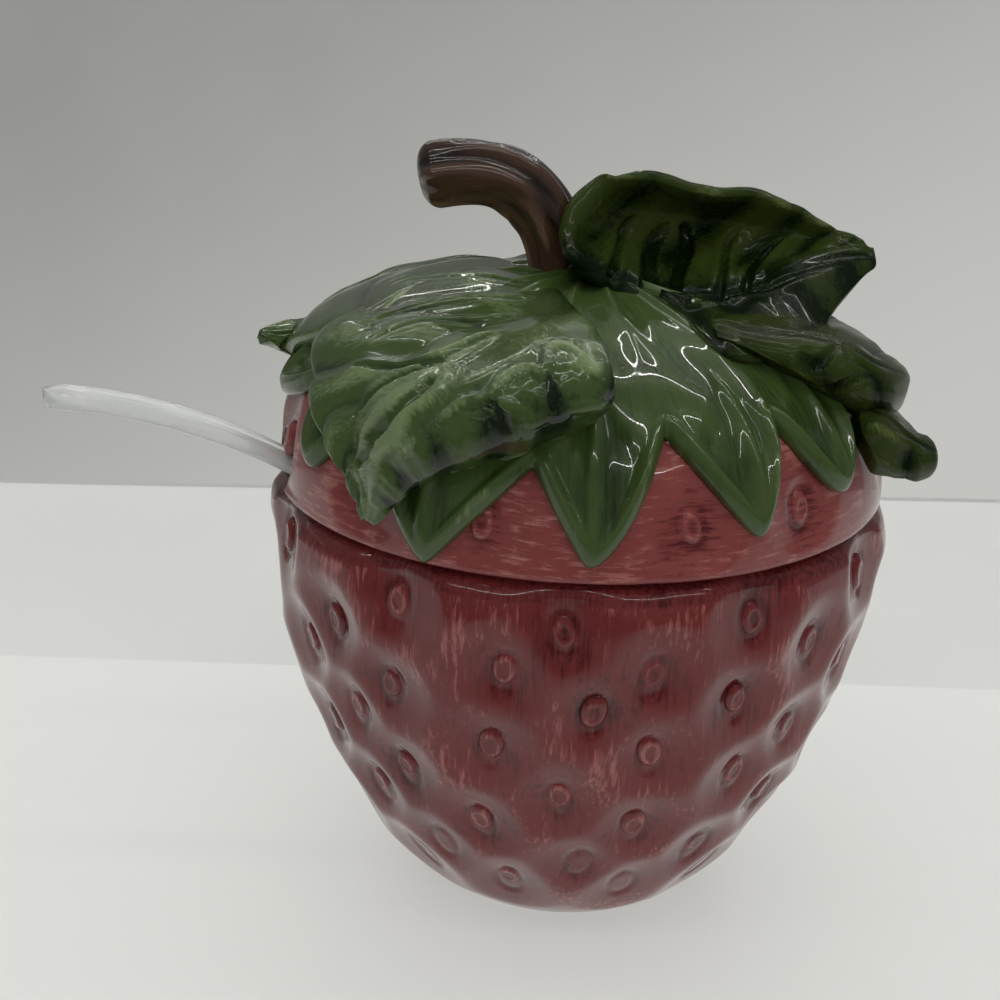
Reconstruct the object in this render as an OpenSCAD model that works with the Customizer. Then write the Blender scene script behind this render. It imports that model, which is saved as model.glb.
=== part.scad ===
// Jam pot in the form of a strawberry: a dimpled berry, a domed lid with a leafy
// top and a curved stem for a handle, and a clear ribbed spoon with its own notch.
// The origin is the centre of the foot, on the table. The spoon leaves on the -X side.

/* [Pot] */
// Widest diameter of the berry
pot_width = 110; // [98:1:126]
// Height of the rim that the lid rests on
pot_height = 78; // [68:1:92]
// How far the widest place lies below the rim
shoulder_drop = 8; // [7:0.5:12]
// Diameter of the foot
foot_width = 40; // [34:1:48]
// Thickness of the berry's wall
wall = 5; // [4.5:0.25:6.5]
// Thickness of the floor inside
floor_thickness = 6; // [5:0.5:8]
// Width of the rim from the mouth to its outer edge
rim_width = 6.8; // [6.4:0.2:8]

/* [Seeds] */
// Seeds in one row round the pot
pot_seed_count = 11; // [9:1:13]
// Seeds in one row round the lid
lid_seed_count = 12; // [10:2:14]
// Height of one seed
seed_length = 6; // [5:0.25:7]
// Width of one seed
seed_width = 4; // [3:0.2:4.6]
// Radius of the shallow dimple round a seed
dimple_reach = 9; // [7:0.5:10]
// Depth of the dimple
dimple_depth = 1.5; // [0.8:0.1:1.8]
// Rise of a seed above the bottom of its dimple
seed_rise = 1.6; // [0.8:0.1:2]

/* [Lid] */
// How far the lid's edge lies inside the berry's widest line
lid_inset = 1.5; // [1:0.25:2.5]
// Rise of the dome above its lower edge
lid_rise = 31; // [27:0.5:36]
// Thickness of the lid's wall
lid_wall = 4.6; // [4.2:0.2:5.4]
// Depth of the locating ring inside the mouth
flange_depth = 6; // [4:0.5:8]
// Thickness of the locating ring
flange_wall = 3; // [2.4:0.2:3.6]
// Clearance between the locating ring and the mouth
flange_gap = 0.6; // [0.4:0.1:1]
// Width of the notch for the spoon
notch_width = 16; // [13:0.5:18]
// Height of the notch above the lid's seat
notch_height = 9; // [8.5:0.5:11]

/* [Leaves] */
// Thickness of the sepals that lie on the dome
sepal_thickness = 2.6; // [2:0.1:3]
// Thickness of the raised leaves
leaf_thickness = 2.6; // [2:0.1:3.2]
// Gap between the dome and the underside of a raised leaf
leaf_lift = 2.4; // [2:0.1:2.8]
// Depth of the veins in a raised leaf
vein_depth = 1; // [0.5:0.1:1.2]

/* [Stem] */
// Diameter of the stem where it leaves the leaves
stem_base_width = 7.6; // [6.6:0.2:8.6]
// Diameter of the stem at its blunt end
stem_end_width = 11; // [9:0.2:13]
// Height of the stem's arch above the dome
stem_rise = 23; // [20:0.5:28]
// Sideways reach of the stem
stem_reach = 23; // [18:0.5:26]

/* [Spoon] */
// Width of the spoon's handle
handle_width = 8.6; // [7:0.2:9.6]
// Thickness of the spoon's handle
handle_thickness = 2.8; // [2.4:0.1:3]
// Length of the handle outside the mouth, measured level
handle_out = 44.4; // [36:0.4:52]
// Rise of the handle's tip above the place where it crosses the rim
handle_tip_rise = 14.3; // [10:0.5:17]
// Width of the spoon's bowl
bowl_width = 24; // [20:0.5:26]
// Length of the spoon's bowl
bowl_length = 32; // [27:0.5:34]
// Depth of the spoon's bowl
bowl_depth = 4.5; // [3:0.25:5.5]
// Thickness of the spoon's bowl
bowl_wall = 1.8; // [1.4:0.1:2.2]

/* [Hidden] */

// Overrun of every cut
over = 1;
// Clearance under a piece that rests on another body
seat_gap = 0.3;
// Depth to which one clay piece is bedded in the next
bed = 0.3;

// The berry's side: exponents of its curve, and how much the shoulder draws in
side_power = 1.5;
side_root = 0.37;
shoulder_share = 0.025;

// Places on the pot
belly_z = pot_height - shoulder_drop;
lip_height = 3.6;
skin_top_z = pot_height - lip_height;
lip_step = 0.3;
lip_outer_round = 3;
lip_inner_round = 2.4;
foot_turn = pow(1 - pow(foot_width / pot_width, 1 / side_root), 1 / side_power);
foot_ring_width = 5;
foot_recess = 1.2;
columns_per_half_step = 4;

// Rows of seeds on the pot
seed_row_count = 8;
seed_levels = 4;
first_row_z = 14;
last_row_drop = 7;
foot_level_share = 0.45;
last_row_z = pot_height - last_row_drop;
row_pitch = (last_row_z - first_row_z) / (seed_row_count - 1);

// Places on the lid
lid_r = pot_width / 2 - lid_inset;
dome_power = 2.6;
seat_z = pot_height + seat_gap;
lid_edge_round = 1;
dome_z = seat_z + lid_edge_round;
lid_row_rise = 8.5;
lid_seed_steps = 4;
lid_top_steps = 5;
dome_top_turn = 5;

// The spoon lies in an upright plane through the axis, turned a little to the front
spoon_turn = 190;

// Points of an arc from one angle to another
function arc(centre, r, from, to, steps) =
    [for (i = [0:steps]) let(a = from + (to - from) * i / steps) centre + r * [cos(a), sin(a)]];

function blend(a, b, f) = a + (b - a) * f;

// Point of a cubic curve with four control points
function bezier(p, f) =
    pow(1 - f, 3) * p[0] + 3 * f * pow(1 - f, 2) * p[1]
    + 3 * f * f * (1 - f) * p[2] + pow(f, 3) * p[3];

// Direction of the same curve
function bezier_way(p, f) =
    unit(pow(1 - f, 2) * (p[1] - p[0]) + 2 * f * (1 - f) * (p[2] - p[1]) + f * f * (p[3] - p[2]));

function unit(v) = v / norm(v);

// Radius of the smooth berry at a height
function pot_r(z) = z < belly_z
    ? pot_width / 2 * pow(1 - pow(foot_turn * (belly_z - z) / belly_z, side_power), side_root)
    : pot_width / 2 * (1 - shoulder_share * pow((z - belly_z) / shoulder_drop, 2));

// Shortest way round from an angle to the nearest multiple of a step
function wrap(a, step) = a - step * round(a / step);

// Depth of one dimple with its seed, at distances along and up from the seed
function dimple(along, up) =
    let(d = norm([along, up]) / dimple_reach)
    let(q = pow(2 * along / seed_width, 2) + pow(2 * up / seed_length, 2))
    (d < 1 ? -dimple_depth * pow(1 - d * d, 2) : 0) + seed_rise * max(0, 1 - q);

// Relief of staggered rows of dimples, at an angle, a height and a radius. The last row
// of an even number of rows has a seed at the very front
function relief(a, z, r, first, pitch, rows, count) =
    let(near = round((z - first) / pitch))
    let(step = 360 / count)
    let(parts = [for (k = [max(0, near - 1):1:min(rows - 1, near + 1)])
        let(turn = wrap(a + 90 - ((k + 1) % 2) * step / 2, step))
        dimple(r * turn * PI / 180, z - first - k * pitch)])
    len(parts) == 0 ? 0 : parts * [for (p = parts) 1];

// Solid through a stack of rings that all have the same even number of points. The
// diagonals of its faces alternate, so that a raised point stands in the middle of eight
module loft(rings) {
    n = len(rings[0]);
    last = (len(rings) - 1) * n;
    polyhedron(
        points = [for (ring = rings, p = ring) p],
        faces = concat(
            [for (i = [0:len(rings) - 2], j = [0:n - 1])
                let(a = i * n + j)
                let(b = i * n + (j + 1) % n)
                each (i + j) % 2 == 0
                    ? [[a, a + n, b + n], [a, b + n, b]]
                    : [[a, a + n, b], [a + n, b + n, b]]],
            [for (j = [0:n / 2 - 2]) [j, j + 1, n - 2 - j]],
            [for (j = [0:n / 2 - 2]) [j, n - 2 - j, n - 1 - j]],
            [for (j = [0:n / 2 - 2]) [last + j, last + n - 2 - j, last + j + 1]],
            [for (j = [0:n / 2 - 2]) [last + j, last + n - 1 - j, last + n - 2 - j]]
        )
    );
}

// Dimpled skin of the berry, closed below by the foot and above under the lip
module pot_skin() {
    columns = pot_seed_count * 2 * columns_per_half_step;
    level_pitch = row_pitch / seed_levels;
    start_z = first_row_z - seed_levels / 2 * level_pitch;
    level_count = floor((skin_top_z - start_z) / level_pitch - 0.1);
    levels = concat(
        [0, foot_recess],
        [blend(foot_recess, start_z, foot_level_share)],
        [for (i = [0:level_count]) start_z + i * level_pitch],
        [skin_top_z]
    );
    loft([for (z = levels) [for (j = [0:columns - 1])
        let(a = 360 * j / columns)
        let(r = pot_r(z))
        let(lift = z < start_z || z >= skin_top_z ? 0
            : relief(a, z, r, first_row_z, row_pitch, seed_row_count, pot_seed_count))
        [(r + lift) * cos(a), (r + lift) * sin(a), z]]]);
}

rim_outer_r = pot_r(skin_top_z) - lip_step;
mouth_r = rim_outer_r - rim_width;

// The rim is turned true, because the lid seats on it
module pot_lip() {
    rotate_extrude($fn = 96)
        polygon(concat(
            [[mouth_r, skin_top_z - lip_height]],
            [[rim_outer_r - wall / 2, skin_top_z - lip_height]],
            [[rim_outer_r, skin_top_z - lip_step]],
            arc([rim_outer_r - lip_outer_round, pot_height - lip_outer_round],
                lip_outer_round, 0, 90, 4),
            arc([mouth_r + lip_inner_round, pot_height - lip_inner_round],
                lip_inner_round, 90, 180, 4)
        ));
}

module pot_hollow() {
    steps = 12;
    heights = [for (i = [0:steps]) blend(floor_thickness, skin_top_z - 2 * lip_height, i / steps)];
    rotate_extrude($fn = 96)
        polygon(concat(
            [[0, floor_thickness]],
            [[pot_r(floor_thickness) - 2 * wall, floor_thickness]],
            [for (i = [1:steps]) [pot_r(heights[i]) - wall, heights[i]]],
            [[mouth_r, skin_top_z - lip_height / 2]],
            [[mouth_r, pot_height + over]],
            [[0, pot_height + over]]
        ));
}

module pot_body() {
    color([0.45, 0.11, 0.14])
        difference() {
            union() {
                pot_skin();
                pot_lip();
            }
            pot_hollow();
            translate([0, 0, -over])
                cylinder(r = foot_width / 2 - foot_ring_width, h = foot_recess + over, $fn = 64);
        }
}

// Point of the dome at a turn from the top, an angle round and a lift along the normal
function dome_point(turn, a, lift) =
    let(r = lid_r * pow(sin(turn), 2 / dome_power))
    let(z = lid_rise * pow(cos(turn), 2 / dome_power))
    let(n = unit([pow(r / lid_r, dome_power - 1) / lid_r, pow(z / lid_rise, dome_power - 1) / lid_rise]))
    let(reach = r + lift * n[0])
    [reach * cos(a), reach * sin(a), dome_z + z + lift * n[1]];

module lid_skin() {
    columns = lid_seed_count * 2 * columns_per_half_step;
    edge_r = lid_r - lid_edge_round;
    seed_turn = acos(pow(lid_row_rise / lid_rise, dome_power / 2));
    turns = concat(
        [for (i = [0:2 * lid_seed_steps]) blend(90, seed_turn, i / lid_seed_steps)],
        [for (i = [1:lid_top_steps]) blend(2 * seed_turn - 90, dome_top_turn, i / lid_top_steps)]
    );
    loft(concat(
        [[for (j = [0:columns - 1]) let(a = 360 * j / columns)
            [edge_r * cos(a), edge_r * sin(a), dome_z - lid_edge_round / 2]]],
        [for (i = [0:len(turns) - 1]) [for (j = [0:columns - 1])
            let(a = 360 * j / columns)
            let(z = dome_point(turns[i], a, 0)[2])
            let(lift = relief(a, z, lid_r, dome_z + lid_row_rise, lid_rise, 1, lid_seed_count))
            dome_point(turns[i], a, i == 0 ? 0 : lift)]]
    ));
}

flange_r = mouth_r - flange_gap;

// Locating ring and seat, turned true
module lid_seat() {
    rotate_extrude($fn = 96)
        polygon([
            [flange_r - flange_wall, seat_z - flange_depth],
            [flange_r - flange_wall / 3, seat_z - flange_depth],
            [flange_r, seat_z - flange_depth + flange_wall / 3],
            [flange_r, seat_z],
            [rim_outer_r - lip_outer_round, seat_z],
            [lid_r - lid_edge_round - lip_step, dome_z - lid_edge_round / 3],
            [lid_r - lid_wall / 2, dome_z + lid_edge_round],
            [flange_r - flange_wall, dome_z + lid_edge_round],
        ]);
}

module lid_hollow() {
    steps = 10;
    in_r = lid_r - lid_wall;
    in_z = lid_rise - lid_wall;
    rotate_extrude($fn = 96)
        polygon(concat(
            [[0, seat_z - flange_depth - over]],
            [[flange_r - flange_wall, seat_z - flange_depth - over]],
            [[flange_r - flange_wall, dome_z + lid_edge_round]],
            [for (i = [1:steps]) let(t = blend(80, 0, i / steps))
                [i == steps ? 0 : in_r * pow(sin(t), 2 / dome_power),
                    dome_z + in_z * pow(cos(t), 2 / dome_power)]]
        ));
}

// Notch with a round top for the spoon, open downwards
module spoon_notch() {
    half = notch_width / 2;
    inner = flange_r - flange_wall - over;
    long = lid_r - inner + 2 * over;
    rotate([0, 0, spoon_turn])
        translate([inner, 0, 0]) {
            translate([0, -half, seat_z - flange_depth - over])
                cube([long, notch_width, flange_depth + over + notch_height - half]);
            translate([0, 0, seat_z + notch_height - half])
                rotate([0, 90, 0])
                    cylinder(r = half, h = long, $fn = 48);
        }
}

module lid_dome() {
    color([0.5, 0.13, 0.17])
        difference() {
            union() {
                lid_skin();
                lid_seat();
            }
            lid_hollow();
            spoon_notch();
        }
}

// Outline of the sepals, tip and valley in turn: the angle, the share of the way down the
// dome, and how straight the edge is that leads there
sepal_shares = [
    [-146, 0.88, 0], [-133, 0.6, 0.6], [-117.5, 1, 0.4], [-100, 0.72, 0.9], [-89.5, 0.975, 1],
    [-76, 0.61, 0.15], [-60, 0.93, 1], [-52, 0.61, 0.9], [-39, 0.875, 0.1], [-31, 0.62, 0.7],
    [-14, 0.86, 0.6], [3, 0.6, 0.5], [18, 0.92, 0.8], [33, 0.58, 0.4], [48, 0.86, 0.9], [62, 0.6, 0.3],
    [75, 0.95, 0.5], [90, 0.62, 0.8], [105, 0.88, 0.4], [119, 0.58, 0.9], [132, 0.93, 0.3],
    [146, 0.6, 0.7], [159, 0.86, 0.5], [172, 0.6, 0.8], [186, 0.78, 0.6], [207, 0.62, 0.5],
];
sepal_steps = 3;
sepal_row_shares = [1, 0.94, 0.8, 0.64, 0.48, 0.32, 0.16, 0];
sepal_bulge = 1.2;
sepal_hollow = 1;
sepal_valley_rise = 0.8;
hollow_place_share = 0.45;
hollow_width_share = 0.17;
sepal_edge_share = 0.33;
calyx_start_turn = 4;
crown_rise = 2.4;
crown_turn = 26;

// Points along that outline: the angle, the share of the way down, and the place across
// the sepal, which is 0 at its tip and 1 in a valley
function sepal_edge() =
    [for (i = [0:len(sepal_shares) - 1], j = [0:sepal_steps - 1])
        let(from = sepal_shares[i])
        let(to = sepal_shares[(i + 1) % len(sepal_shares)])
        let(at_tip = i % 2 == 0)
        let(tip = at_tip ? from : to)
        let(valley = at_tip ? to : from)
        let(f = j / sepal_steps)
        let(s = at_tip ? f : 1 - f)
        [from[0] + f * ((to[0] - from[0] + 360) % 360),
            blend(tip[1], valley[1], to[2] * s + (1 - to[2]) * (1 - cos(90 * s))), s]];

module calyx() {
    last = len(sepal_row_shares) - 1;
    edge = sepal_edge();
    color([0.16, 0.27, 0.12])
        loft(concat(
            [for (i = [last:-1:0]) [for (e = edge)
                dome_point(blend(calyx_start_turn, 90 * e[1], sepal_row_shares[i]), e[0], -bed)]],
            [for (f = sepal_row_shares) [for (e = edge)
                let(turn = blend(calyx_start_turn, 90 * e[1], f))
                let(crown = crown_rise * max(0, 1 - turn / crown_turn))
                let(out = max(0, min(1, 3 * f - 0.8)) * (f < 1 ? 1 : 0))
                let(hollow = f > 0.9 ? 0 : exp(-pow((e[2] - hollow_place_share) / hollow_width_share, 2)))
                let(bulge = out * (sepal_bulge * (1 - e[2] * e[2]) - sepal_hollow * hollow))
                let(valley = f < 1 ? sepal_valley_rise * (1 - out) * pow(e[2], 4) : 0)
                let(body = sepal_thickness * (f == 1 ? sepal_edge_share : 1))
                dome_point(turn, e[0], body + bulge + valley + crown)]]
        ));
}

// Place on the lid in shares of its radius and its rise
function lid_place(p) = [p[0] * lid_r, p[1] * lid_r, dome_z + p[2] * lid_rise];

// A point that lies lower than a lift over the dome is moved out to it
function above_dome(p, lift) =
    let(z = max(0, p[2] - dome_z))
    let(r = norm([p[0], p[1]]))
    let(share = pow(r / (lid_r + lift), dome_power) + pow(z / (lid_rise + lift), dome_power))
    let(grow = max(1, pow(share, -1 / dome_power)))
    p[2] > dome_z ? [p[0] * grow, p[1] * grow, dome_z + z * grow] : p;

// Point of a smooth curve through evenly spaced points, at a share of its length
function spline(p, f) =
    let(last = len(p) - 1)
    let(s = min(1, max(0, f)) * last)
    let(i = min(floor(s), last - 1))
    let(t = s - i)
    let(a = p[max(0, i - 1)])
    let(b = p[i])
    let(c = p[i + 1])
    let(d = p[min(last, i + 2)])
    b + t / 2 * (c - a + t * (2 * a - 5 * b + 4 * c - d + t * (3 * b - 3 * c + d - a)));

function sheet(table, u, v) = lid_place(spline([for (row = table) spline(row, v)], u));

// One leaf: a sheet through a table of places, from root to tip and from edge to edge. Its
// side veins run from the midrib to the teeth of its edge, and its rings follow them. Its
// second edge can be tucked down to the sepals
leaf_tuck = 3;

module leaf(table, midrib_share, teeth, slant_shares, band_share, vein_share, tuck_share, rows, columns) {
    tooth_share = 0.08;
    edge_share = 0.35;
    nudge = 0.03;
    lobe_share = 1.5;
    lobe_middle_share = 0.6;
    band_width_share = 0.3;
    crease_width_share = 0.15;
    depth = vein_depth * vein_share;
    loft([for (i = [0:rows])
        let(f = i / rows)
        let(way = (1 - f) * (1 - pow(1 - f, 4)))
        let(phase = teeth * f - floor(teeth * f))
        let(scallop = 1 - sin(180 * phase))
        let(lobe = lobe_share * (1 - pow(2 * phase - 1, 2) - lobe_middle_share))
        let(ends = sqrt(max(0, 1 - pow(2 * f - 1, 8))))
        let(line = [for (j = [0:columns])
            let(k = j / columns)
            let(near = k < midrib_share)
            let(t = near ? 1 - k / midrib_share : (k - midrib_share) / (1 - midrib_share))
            let(u = f + slant_shares[near ? 0 : 1] * t * way)
            let(v = midrib_share + (k - midrib_share) * (1 - tooth_share * scallop * pow(t, 3)))
            let(along = sheet(table, u + nudge, v) - sheet(table, u - nudge, v))
            let(across = sheet(table, u, v + nudge) - sheet(table, u, v - nudge))
            let(body = ends * sqrt(1 - pow(0.9 * abs(2 * k - 1), 6)))
            let(half = leaf_thickness / 2 * blend(edge_share, 1, body))
            let(side = min(1, t / band_width_share))
            let(crease = max(0, 1 - t / crease_width_share))
            let(rib = band_share * (1 - side) - (1 - band_share) * crease)
            let(lift = leaf_lift - leaf_tuck * tuck_share * max(0, 3 * k - 2))
            [sheet(table, u, v), -unit(cross(unit(along), unit(across))), half,
                depth * ends * (lobe * side + rib), lift]])
        concat(
            [for (q = line) above_dome(q[0] + q[1] * (q[3] + q[2]), q[4] + 2 * q[2] + q[3])],
            [for (j = [columns:-1:0]) let(q = line[j]) above_dome(q[0] + q[1] * (q[3] - q[2]), q[4])])
    ]);
}

leaf_green = [0.17, 0.3, 0.13];

// Places of the leaves, in shares of the lid's radius and rise
upright_shares = [
    [[0.06, 0.2, 1.3], [0.05, 0.16, 1.24], [0.03, 0.1, 1.19], [0.01, 0.02, 1.15], [0, -0.1, 1.12]],
    [[0.02, 0.09, 1.59], [-0.04, 0, 1.51], [-0.07, -0.09, 1.39], [-0.05, -0.22, 1.28], [0, 0.08, 1.06]],
    [[0.14, 0.02, 1.69], [0.11, 0.09, 1.49], [0.11, 0.07, 1.27], [0.11, -0.17, 1.15],
        [0.15, -0.17, 1.06]],
    [[0.33, 0.07, 1.62], [0.34, 0.21, 1.41], [0.34, 0.11, 1.2], [0.32, -0.15, 1.06], [0.27, -0.36, 1.02]],
    [[0.57, 0.15, 1.56], [0.58, 0.22, 1.36], [0.56, 0.13, 1.2], [0.51, -0.07, 1.09], [0.39, -0.52, 0.96]],
    [[0.74, 0.19, 1.43], [0.73, 0.21, 1.3], [0.71, 0.13, 1.22], [0.68, 0.02, 1.16], [0.62, -0.41, 0.87]],
    [[0.87, 0.17, 1.33], [0.85, 0.15, 1.29], [0.84, 0.13, 1.26], [0.83, 0.09, 1.22], [0.77, -0.21, 0.94]],
    [[0.94, 0.11, 1.26], [0.94, 0.1, 1.24], [0.94, 0.08, 1.23], [0.93, 0.06, 1.2], [0.91, 0, 1.14]],
];
folded_shares = [
    [[0.01, -0.86, 0.77], [0.05, -0.97, 0.94], [0.04, -0.95, 1.08], [0.01, -0.72, 1.13],
        [-0.05, -0.42, 1.12], [-0.11, -0.12, 1.11], [-0.18, 0.2, 1.08]],
    [[-0.15, -0.92, 0.67], [-0.11, -1.03, 0.87], [-0.13, -0.99, 1.05], [-0.18, -0.74, 1.07],
        [-0.25, -0.44, 1.05], [-0.31, -0.19, 1.07], [-0.4, 0.17, 1.05]],
    [[-0.28, -0.93, 0.58], [-0.27, -1.03, 0.76], [-0.31, -1.01, 0.92], [-0.37, -0.81, 0.95],
        [-0.45, -0.51, 0.96], [-0.53, -0.29, 0.99], [-0.63, 0.04, 0.98]],
    [[-0.42, -0.9, 0.49], [-0.41, -1, 0.61], [-0.45, -0.98, 0.74], [-0.54, -0.82, 0.78],
        [-0.64, -0.59, 0.79], [-0.72, -0.42, 0.81], [-0.82, -0.14, 0.81]],
    [[-0.52, -0.87, 0.38], [-0.51, -0.94, 0.46], [-0.54, -0.93, 0.52], [-0.6, -0.85, 0.56],
        [-0.68, -0.71, 0.59], [-0.75, -0.59, 0.63], [-0.83, -0.43, 0.67]],
    [[-0.56, -0.87, 0.3], [-0.56, -0.9, 0.34], [-0.58, -0.9, 0.37], [-0.61, -0.86, 0.37],
        [-0.64, -0.81, 0.36], [-0.67, -0.78, 0.38], [-0.7, -0.74, 0.39]],
    [[-0.6, -0.85, 0.19], [-0.6, -0.85, 0.19], [-0.61, -0.85, 0.18], [-0.61, -0.85, 0.18],
        [-0.61, -0.85, 0.19], [-0.62, -0.84, 0.19], [-0.62, -0.84, 0.19]],
];
right_upper_shares = [
    [[0.36, -0.29, 1.01], [0.36, -0.37, 1.01], [0.37, -0.44, 0.99], [0.38, -0.44, 0.93]],
    [[0.57, -0.21, 0.99], [0.56, -0.45, 1.01], [0.56, -0.54, 0.95], [0.59, -0.46, 0.82]],
    [[0.79, 0, 0.92], [0.73, -0.46, 0.98], [0.73, -0.58, 0.88], [0.77, -0.43, 0.66]],
    [[0.92, -0.2, 0.83], [0.87, -0.46, 0.86], [0.87, -0.53, 0.76], [0.89, -0.4, 0.57]],
    [[1, -0.26, 0.74], [1, -0.3, 0.73], [0.98, -0.35, 0.7], [0.98, -0.31, 0.62]],
];
right_lower_shares = [
    [[0.79, -0.44, 0.66], [0.8, -0.48, 0.64], [0.8, -0.52, 0.6], [0.81, -0.52, 0.52]],
    [[0.9, -0.37, 0.63], [0.87, -0.52, 0.64], [0.85, -0.58, 0.55], [0.86, -0.52, 0.37]],
    [[0.99, -0.36, 0.51], [0.96, -0.49, 0.52], [0.95, -0.54, 0.44], [0.94, -0.5, 0.33]],
    [[1.05, -0.37, 0.45], [1.03, -0.47, 0.44], [1.01, -0.52, 0.39], [1, -0.49, 0.3]],
    [[1.08, -0.41, 0.41], [1.09, -0.43, 0.38], [1.08, -0.45, 0.35], [1.06, -0.45, 0.3]],
];
back_left_shares = [
    [[-0.21, 0.04, 1.09], [-0.23, 0.17, 1.08], [-0.26, 0.19, 1.11]],
    [[-0.47, -0.11, 1.02], [-0.49, 0.22, 0.97], [-0.52, 0.34, 0.98]],
    [[-0.69, -0.28, 0.88], [-0.73, 0.22, 0.75], [-0.75, 0.34, 0.77]],
    [[-0.93, 0, 0.61], [-0.92, 0.07, 0.69], [-0.93, 0.17, 0.73]],
    [[-1.04, -0.06, 0.71], [-1.05, -0.05, 0.73], [-1.06, -0.04, 0.74]],
];
back_shares = [
    [[-0.1, 0.1, 1.06], [0, 0.12, 1.1], [0.12, 0.1, 1.06]],
    [[-0.18, 0.4, 1.08], [0.06, 0.42, 1.16], [0.28, 0.36, 1.08]],
    [[-0.14, 0.7, 0.94], [0.14, 0.72, 1.02], [0.38, 0.62, 0.92]],
    [[0.02, 0.92, 0.7], [0.2, 0.93, 0.76], [0.36, 0.84, 0.7]],
    [[0.2, 1.01, 0.42], [0.23, 1.01, 0.43], [0.26, 1, 0.42]],
];

module leaf_folded() {
    color(leaf_green)
        leaf(folded_shares, midrib_share = 0.5, teeth = 6, slant_shares = [0, 0.6], band_share = 0.8,
            vein_share = 1, tuck_share = 0, rows = 18, columns = 10);
}

module leaf_upright() {
    color(leaf_green)
        leaf(upright_shares, midrib_share = 0.75, teeth = 6, slant_shares = [0.4, 0.4], band_share = 0,
            vein_share = 0.8, tuck_share = 1, rows = 18, columns = 8);
}

module leaf_back_left() {
    color(leaf_green)
        leaf(back_left_shares, midrib_share = 0.5, teeth = 3, slant_shares = [0.3, 0.3], band_share = 0,
            vein_share = 0.45, tuck_share = 0, rows = 9, columns = 6);
}

module leaf_right_upper() {
    color(leaf_green)
        leaf(right_upper_shares, midrib_share = 0.33, teeth = 3, slant_shares = [0.4, 0.4], band_share = 0.3,
            vein_share = 0.6, tuck_share = 1, rows = 9, columns = 6);
}

module leaf_right_lower() {
    color(leaf_green)
        leaf(right_lower_shares, midrib_share = 0.33, teeth = 2, slant_shares = [0.4, 0.4], band_share = 0.3,
            vein_share = 0.4, tuck_share = 0.7, rows = 6, columns = 6);
}

module leaf_back() {
    color(leaf_green)
        leaf(back_shares, midrib_share = 0.5, teeth = 4, slant_shares = [0.4, 0.4], band_share = 0,
            vein_share = 0.7, tuck_share = 0, rows = 12, columns = 6);
}

// Stem: a swept round bar with long ridges that thickens towards its blunt end. Its middle
// line is a curve through shares of its reach and its rise
stem_line_shares = [[0, -0.06], [0.05, 0.5], [-0.3, 0.93], [-1, 0.8]];
stem_foot_shares = [-0.1, 0.075];
stem_tail_shares = [[0.2, 0.88], [0.28, 0.5]];
ridge_share = 0.06;

module stem() {
    rows = 11;
    sides = 20;
    ridges = 5;
    start = [stem_foot_shares[0] * lid_r, stem_foot_shares[1] * lid_r, dome_z + lid_rise + sepal_thickness];
    mid = [for (p = stem_line_shares) start + [p[0] * stem_reach, 0, p[1] * stem_rise]];
    line = concat(
        [for (i = [0:rows]) [i / rows, 0, 1]],
        [for (p = stem_tail_shares) [1, p[0], p[1]]]
    );
    color([0.25, 0.16, 0.1])
        loft([for (q = line)
            let(f = q[0])
            let(way = bezier_way(mid, f))
            let(side = [0, 1, 0])
            let(up = cross(way, side))
            let(r = blend(stem_base_width, stem_end_width, pow(f, 0.4)) / 2)
            let(centre = bezier(mid, f) + way * r * q[1])
            [for (j = [0:sides - 1])
                let(a = 360 * j / sides)
                let(w = r * q[2] * (1 + ridge_share * cos(ridges * a + 60 * f)))
                centre + side * w * cos(a) + up * w * sin(a)]]);
}

// The spoon's centre line, as a distance from the axis and a height
spoon_cross = [mouth_r + lip_inner_round / 5, pot_height + handle_thickness / 2 + seat_gap];
spoon_tip = spoon_cross + [handle_out, handle_tip_rise];
bowl_slope = 48;
bowl_way = [-cos(bowl_slope), -sin(bowl_slope)];
bowl_end_share = 0.13;
bowl_end = [-bowl_end_share * pot_width, floor_thickness + bowl_wall / 2 + 2 * seat_gap];
bowl_start = bowl_end - bowl_length * bowl_way;
tip_shares = [0.35, 0.04];
cross_shares = [0.31, 0.56];
bowl_lead_share = 0.3;
cross_lead = [cross_shares[0] * handle_out, cross_shares[1] * handle_tip_rise];
handle_outside = [
    spoon_tip,
    spoon_tip - [tip_shares[0] * handle_out, tip_shares[1] * handle_tip_rise],
    spoon_cross + cross_lead,
    spoon_cross,
];
handle_inside = [
    spoon_cross,
    spoon_cross - cross_lead,
    bowl_start - bowl_lead_share * bowl_length * bowl_way,
    bowl_start,
];

spoon_points = 6;
handle_edge_share = 0.4;
rib_share = 0.3;
handle_end_shares = [0.55, 0.95];
handle_end_thickness_share = 0.6;
neck_share = 0.62;
bowl_root_share = 0.31;
bowl_tip_share = 0.8;

// Section of the handle: flat, with ribs along its upper face
function handle_section(f_width, f_thick, ribs) =
    let(w = handle_width / 2 * f_width)
    let(t = handle_thickness / 2 * f_thick)
    concat(
        [for (k = [0:spoon_points]) let(x = 2 * k / spoon_points - 1)
            [x * w, t * (abs(x) == 1 ? handle_edge_share : (k % 2 == 0 ? 1 : 1 - rib_share * ribs))]],
        [for (k = [spoon_points:-1:0]) let(x = 2 * k / spoon_points - 1)
            [x * w, -t * (abs(x) == 1 ? handle_edge_share : 1)]]
    );

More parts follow.
